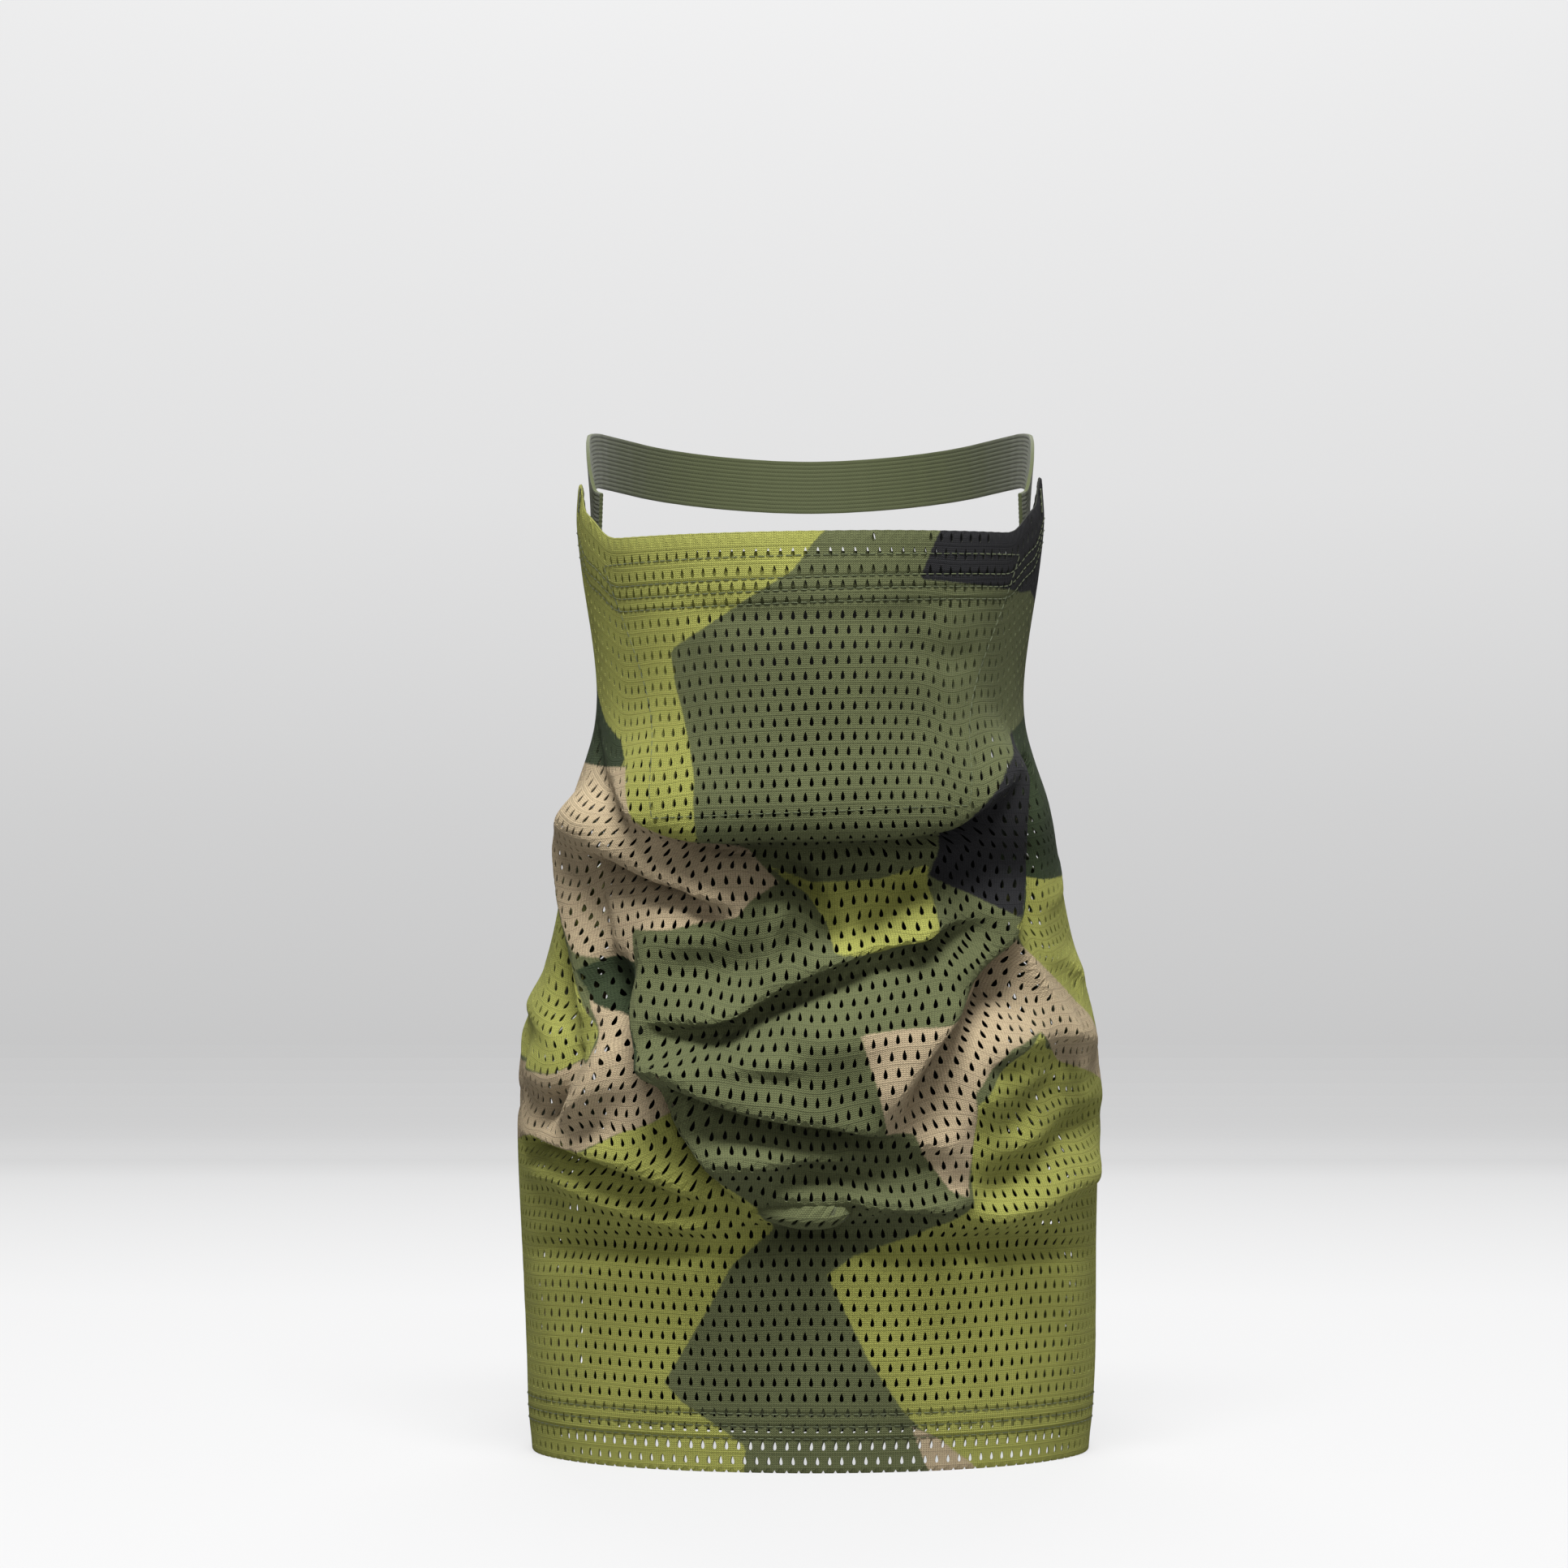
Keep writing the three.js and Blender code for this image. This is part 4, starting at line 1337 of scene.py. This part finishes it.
def build_tacks():
    """Close zigzag stitches that hold the strap's ends, on the outside."""
    count = 34
    for side, sign in (("right", -1), ("left", 1)):
        low, high = low_high(f"bartack_{side}")
        turns = sign * TACK_TURN + np.tile([-0.75, 0.75], count // 2)
        path = place(turns, np.linspace(low[2], high[2], count), 0.25)
        tack = skin_piece(f"tack_{side}", tube_along(curve_through(path, count * 4), 0.2), THREAD)
        join_model(tack, "thread", "face", f"bartack_{side}")


build_panels()
build_rolled_pleat()
build_hems()
build_lining()
build_hem_stitches()
build_lining_stitches()
build_seams()
build_strap()
build_tacks()


# ---------------------------------------------------------------- stage, light and camera


# Painted light of the backdrop: the wall and floor glow in these tones, darker low on the wall and on the
# floor near the wall, in place of light from the lamps. The camera sees a stronger glow than the one that
# lights the cloth.
WALL_TONES = ((0.0, 0.58), (0.02, 0.52), (0.07, 0.53), (0.22, 0.59), (0.43, 0.715), (0.75, 0.80), (1.1, 0.83))
FLOOR_TONES = ((-0.3, 0.79), (0.5, 0.80), (1.2, 0.68), (1.34, 0.60))
STAGE_CATCH = 0.16  # how much of the stage's tone comes from the lamps
STAGE_GLOW = 0.86
STAGE_GLOW_ON_CLOTH = 0.17
BLOCK_FILL = 0.72  # how much of the mask's depth a light block fills


def tone_ramp(n, value, tones):
    """A grey that follows a value through a few (value, tone) stops."""
    low, high = tones[0][0], tones[-1][0]
    ramp = n.node("ShaderNodeValToRGB")
    n.put(n.between(value, low, high), ramp.inputs["Fac"])
    stops = ramp.color_ramp.elements
    while len(stops) < len(tones):
        stops.new(0.5)
    for stop, (at, tone) in zip(stops, tones):
        stop.position = (at - low) / (high - low)
        stop.color = (tone, tone, tone * 1.005, 1)
    return ramp.outputs["Color"]


def matt_material(name, tone):
    """A dull grey with no shine, and its nodes' builder."""
    n = Nodes(name)
    n.set(base_color=(tone, tone, tone), roughness=1.0, specular_ior_level=0.0)
    return n, n.node("ShaderNodeNewGeometry").outputs


def stage_material():
    """Mostly its own soft grey glow, painted light that is darkest low on the wall and on the floor near it.
    Only a little of it shows light and shadow.
    A camera behind the wall sees through it."""
    n, geometry = matt_material("stage_grey", STAGE_CATCH)
    _, back, up = n.split(geometry["Position"])
    wall, floor = tone_ramp(n, up, WALL_TONES), tone_ramp(n, back, FLOOR_TONES)
    seen = n.node("ShaderNodeLightPath").outputs["Is Camera Ray"]
    n.set(emission_strength=n.between(seen, 0, 1, STAGE_GLOW_ON_CLOTH, STAGE_GLOW))
    n.set(emission_color=n.mix(n.between(up, 0.0, 0.012), floor, wall))
    n.hide_from_camera(geometry["Backfacing"])
    return n.material


def build_stage():
    """Pale floor that curves up into a pale wall."""
    wall_at, front_at, round_by, high, half = 1.41, -3.0, 0.07, 3.0, 3.5
    bend = np.linspace(0, math.pi / 2, 14)[1:]
    profile = [(front_at, 0.0), (wall_at - round_by, 0.0)]
    profile += [(wall_at - round_by * (1 - math.sin(a)), round_by * (1 - math.cos(a))) for a in bend]
    profile.append((wall_at, high))
    points = np.array([(x * half, y, z) for y, z in profile for x in (-1, 1)])
    faces = [[2 * i, 2 * i + 1, 2 * i + 3, 2 * i + 2] for i in range(len(profile) - 1)]
    floor = add_mesh("stage_sweep", points / MM, faces, stage_material())


def light_block_material():
    """Matt black. A camera sees it only from straight in front, within ten degrees, through the holes, where
    its black stands in for shade inside the mask.
    """
    n, geometry = matt_material("matt_black", 0.008)
    toward_camera = n.split(geometry["Incoming"])[1]
    n.hide_from_camera(n.math("GREATER_THAN", toward_camera, -0.984))
    return n.material


def build_light_block(name, heights, widest, deepest, body=None):
    """A black column inside the mask, part of the stage. It keeps stray light from the inside of the cloth,
    as a wearer would, so that the holes read dark. One with a body goes up and down with it."""
    a = np.linspace(0, 2 * math.pi, 48, endpoint=False)
    rings = []
    for height in np.linspace(*heights, 16):
        half, front, rear, _ = profiles_at(height)
        reach = np.where(np.sin(a) < 0, front * BLOCK_FILL, min(rear * BLOCK_FILL, deepest))
        rings.append(np.stack([min(half * 0.8, widest) * np.cos(a), reach * np.sin(a), height + 0 * a], -1))
    points, faces, _ = loft(np.array(rings))
    block = add_mesh(name, points, faces, light_block_material())
    if body:
        block.parent = frame["bodies"][body]


def area_light(name, at, size, power):
    """A soft lamp that points at the middle of the mask."""
    data = bpy.data.lights.new(name, "AREA")
    data.shape = "RECTANGLE"
    data.size, data.size_y = size
    data.energy = power
    lamp = bpy.data.objects.new(name, data)
    lamp.location = at
    lamp.rotation_euler = (Vector((0, 0, 0.18)) - Vector(at)).to_track_quat("-Z", "Y").to_euler()
    bpy.context.scene.collection.objects.link(lamp)


def build_lights():
    """A soft lamp overhead, a weak one in front, one behind, and a dim room."""
    area_light("key_light", (0.0, -0.88, 1.75), (1.0, 0.5), 50)
    area_light("front_light", (0.2, -2.2, 0.5), (0.8, 0.8), 7)
    area_light("back_light", (0.0, 1.25, 1.3), (1.0, 0.5), 16)
    world = bpy.data.worlds.new("room")
    bpy.context.scene.world = world
    world.use_nodes = True
    tree = world.node_tree
    seen = tree.nodes.new("ShaderNodeLightPath")
    strength = tree.nodes.new("ShaderNodeMapRange")
    strength.inputs["To Min"].default_value = 0.15
    strength.inputs["To Max"].default_value = 0.72
    tree.links.new(seen.outputs["Is Camera Ray"], strength.inputs["Value"])
    tree.links.new(strength.outputs["Result"], tree.nodes["Background"].inputs["Strength"])
    tree.nodes["Background"].inputs["Color"].default_value = (1, 1, 1, 1)


def build_camera():
    """A long lens straight in front, a little above the chin."""
    data = bpy.data.cameras.new("camera")
    data.sensor_width = 36
    data.lens = 111.8
    camera = bpy.data.objects.new("camera", data)
    camera.location = (-0.0094, -1.765, 0.240)
    camera.rotation_euler = (math.pi / 2, 0, 0)
    bpy.context.scene.collection.objects.link(camera)
    bpy.context.scene.camera = camera
    bpy.context.scene.view_settings.view_transform = "Standard"


build_stage()
build_light_block("light_block_skirt", (12, 112), 84, 58)
build_light_block("light_block_neck", (106, 206), 72, 12)
build_light_block("light_block_face", (200, 319), 75, 12, "face")
build_lights()
build_camera()
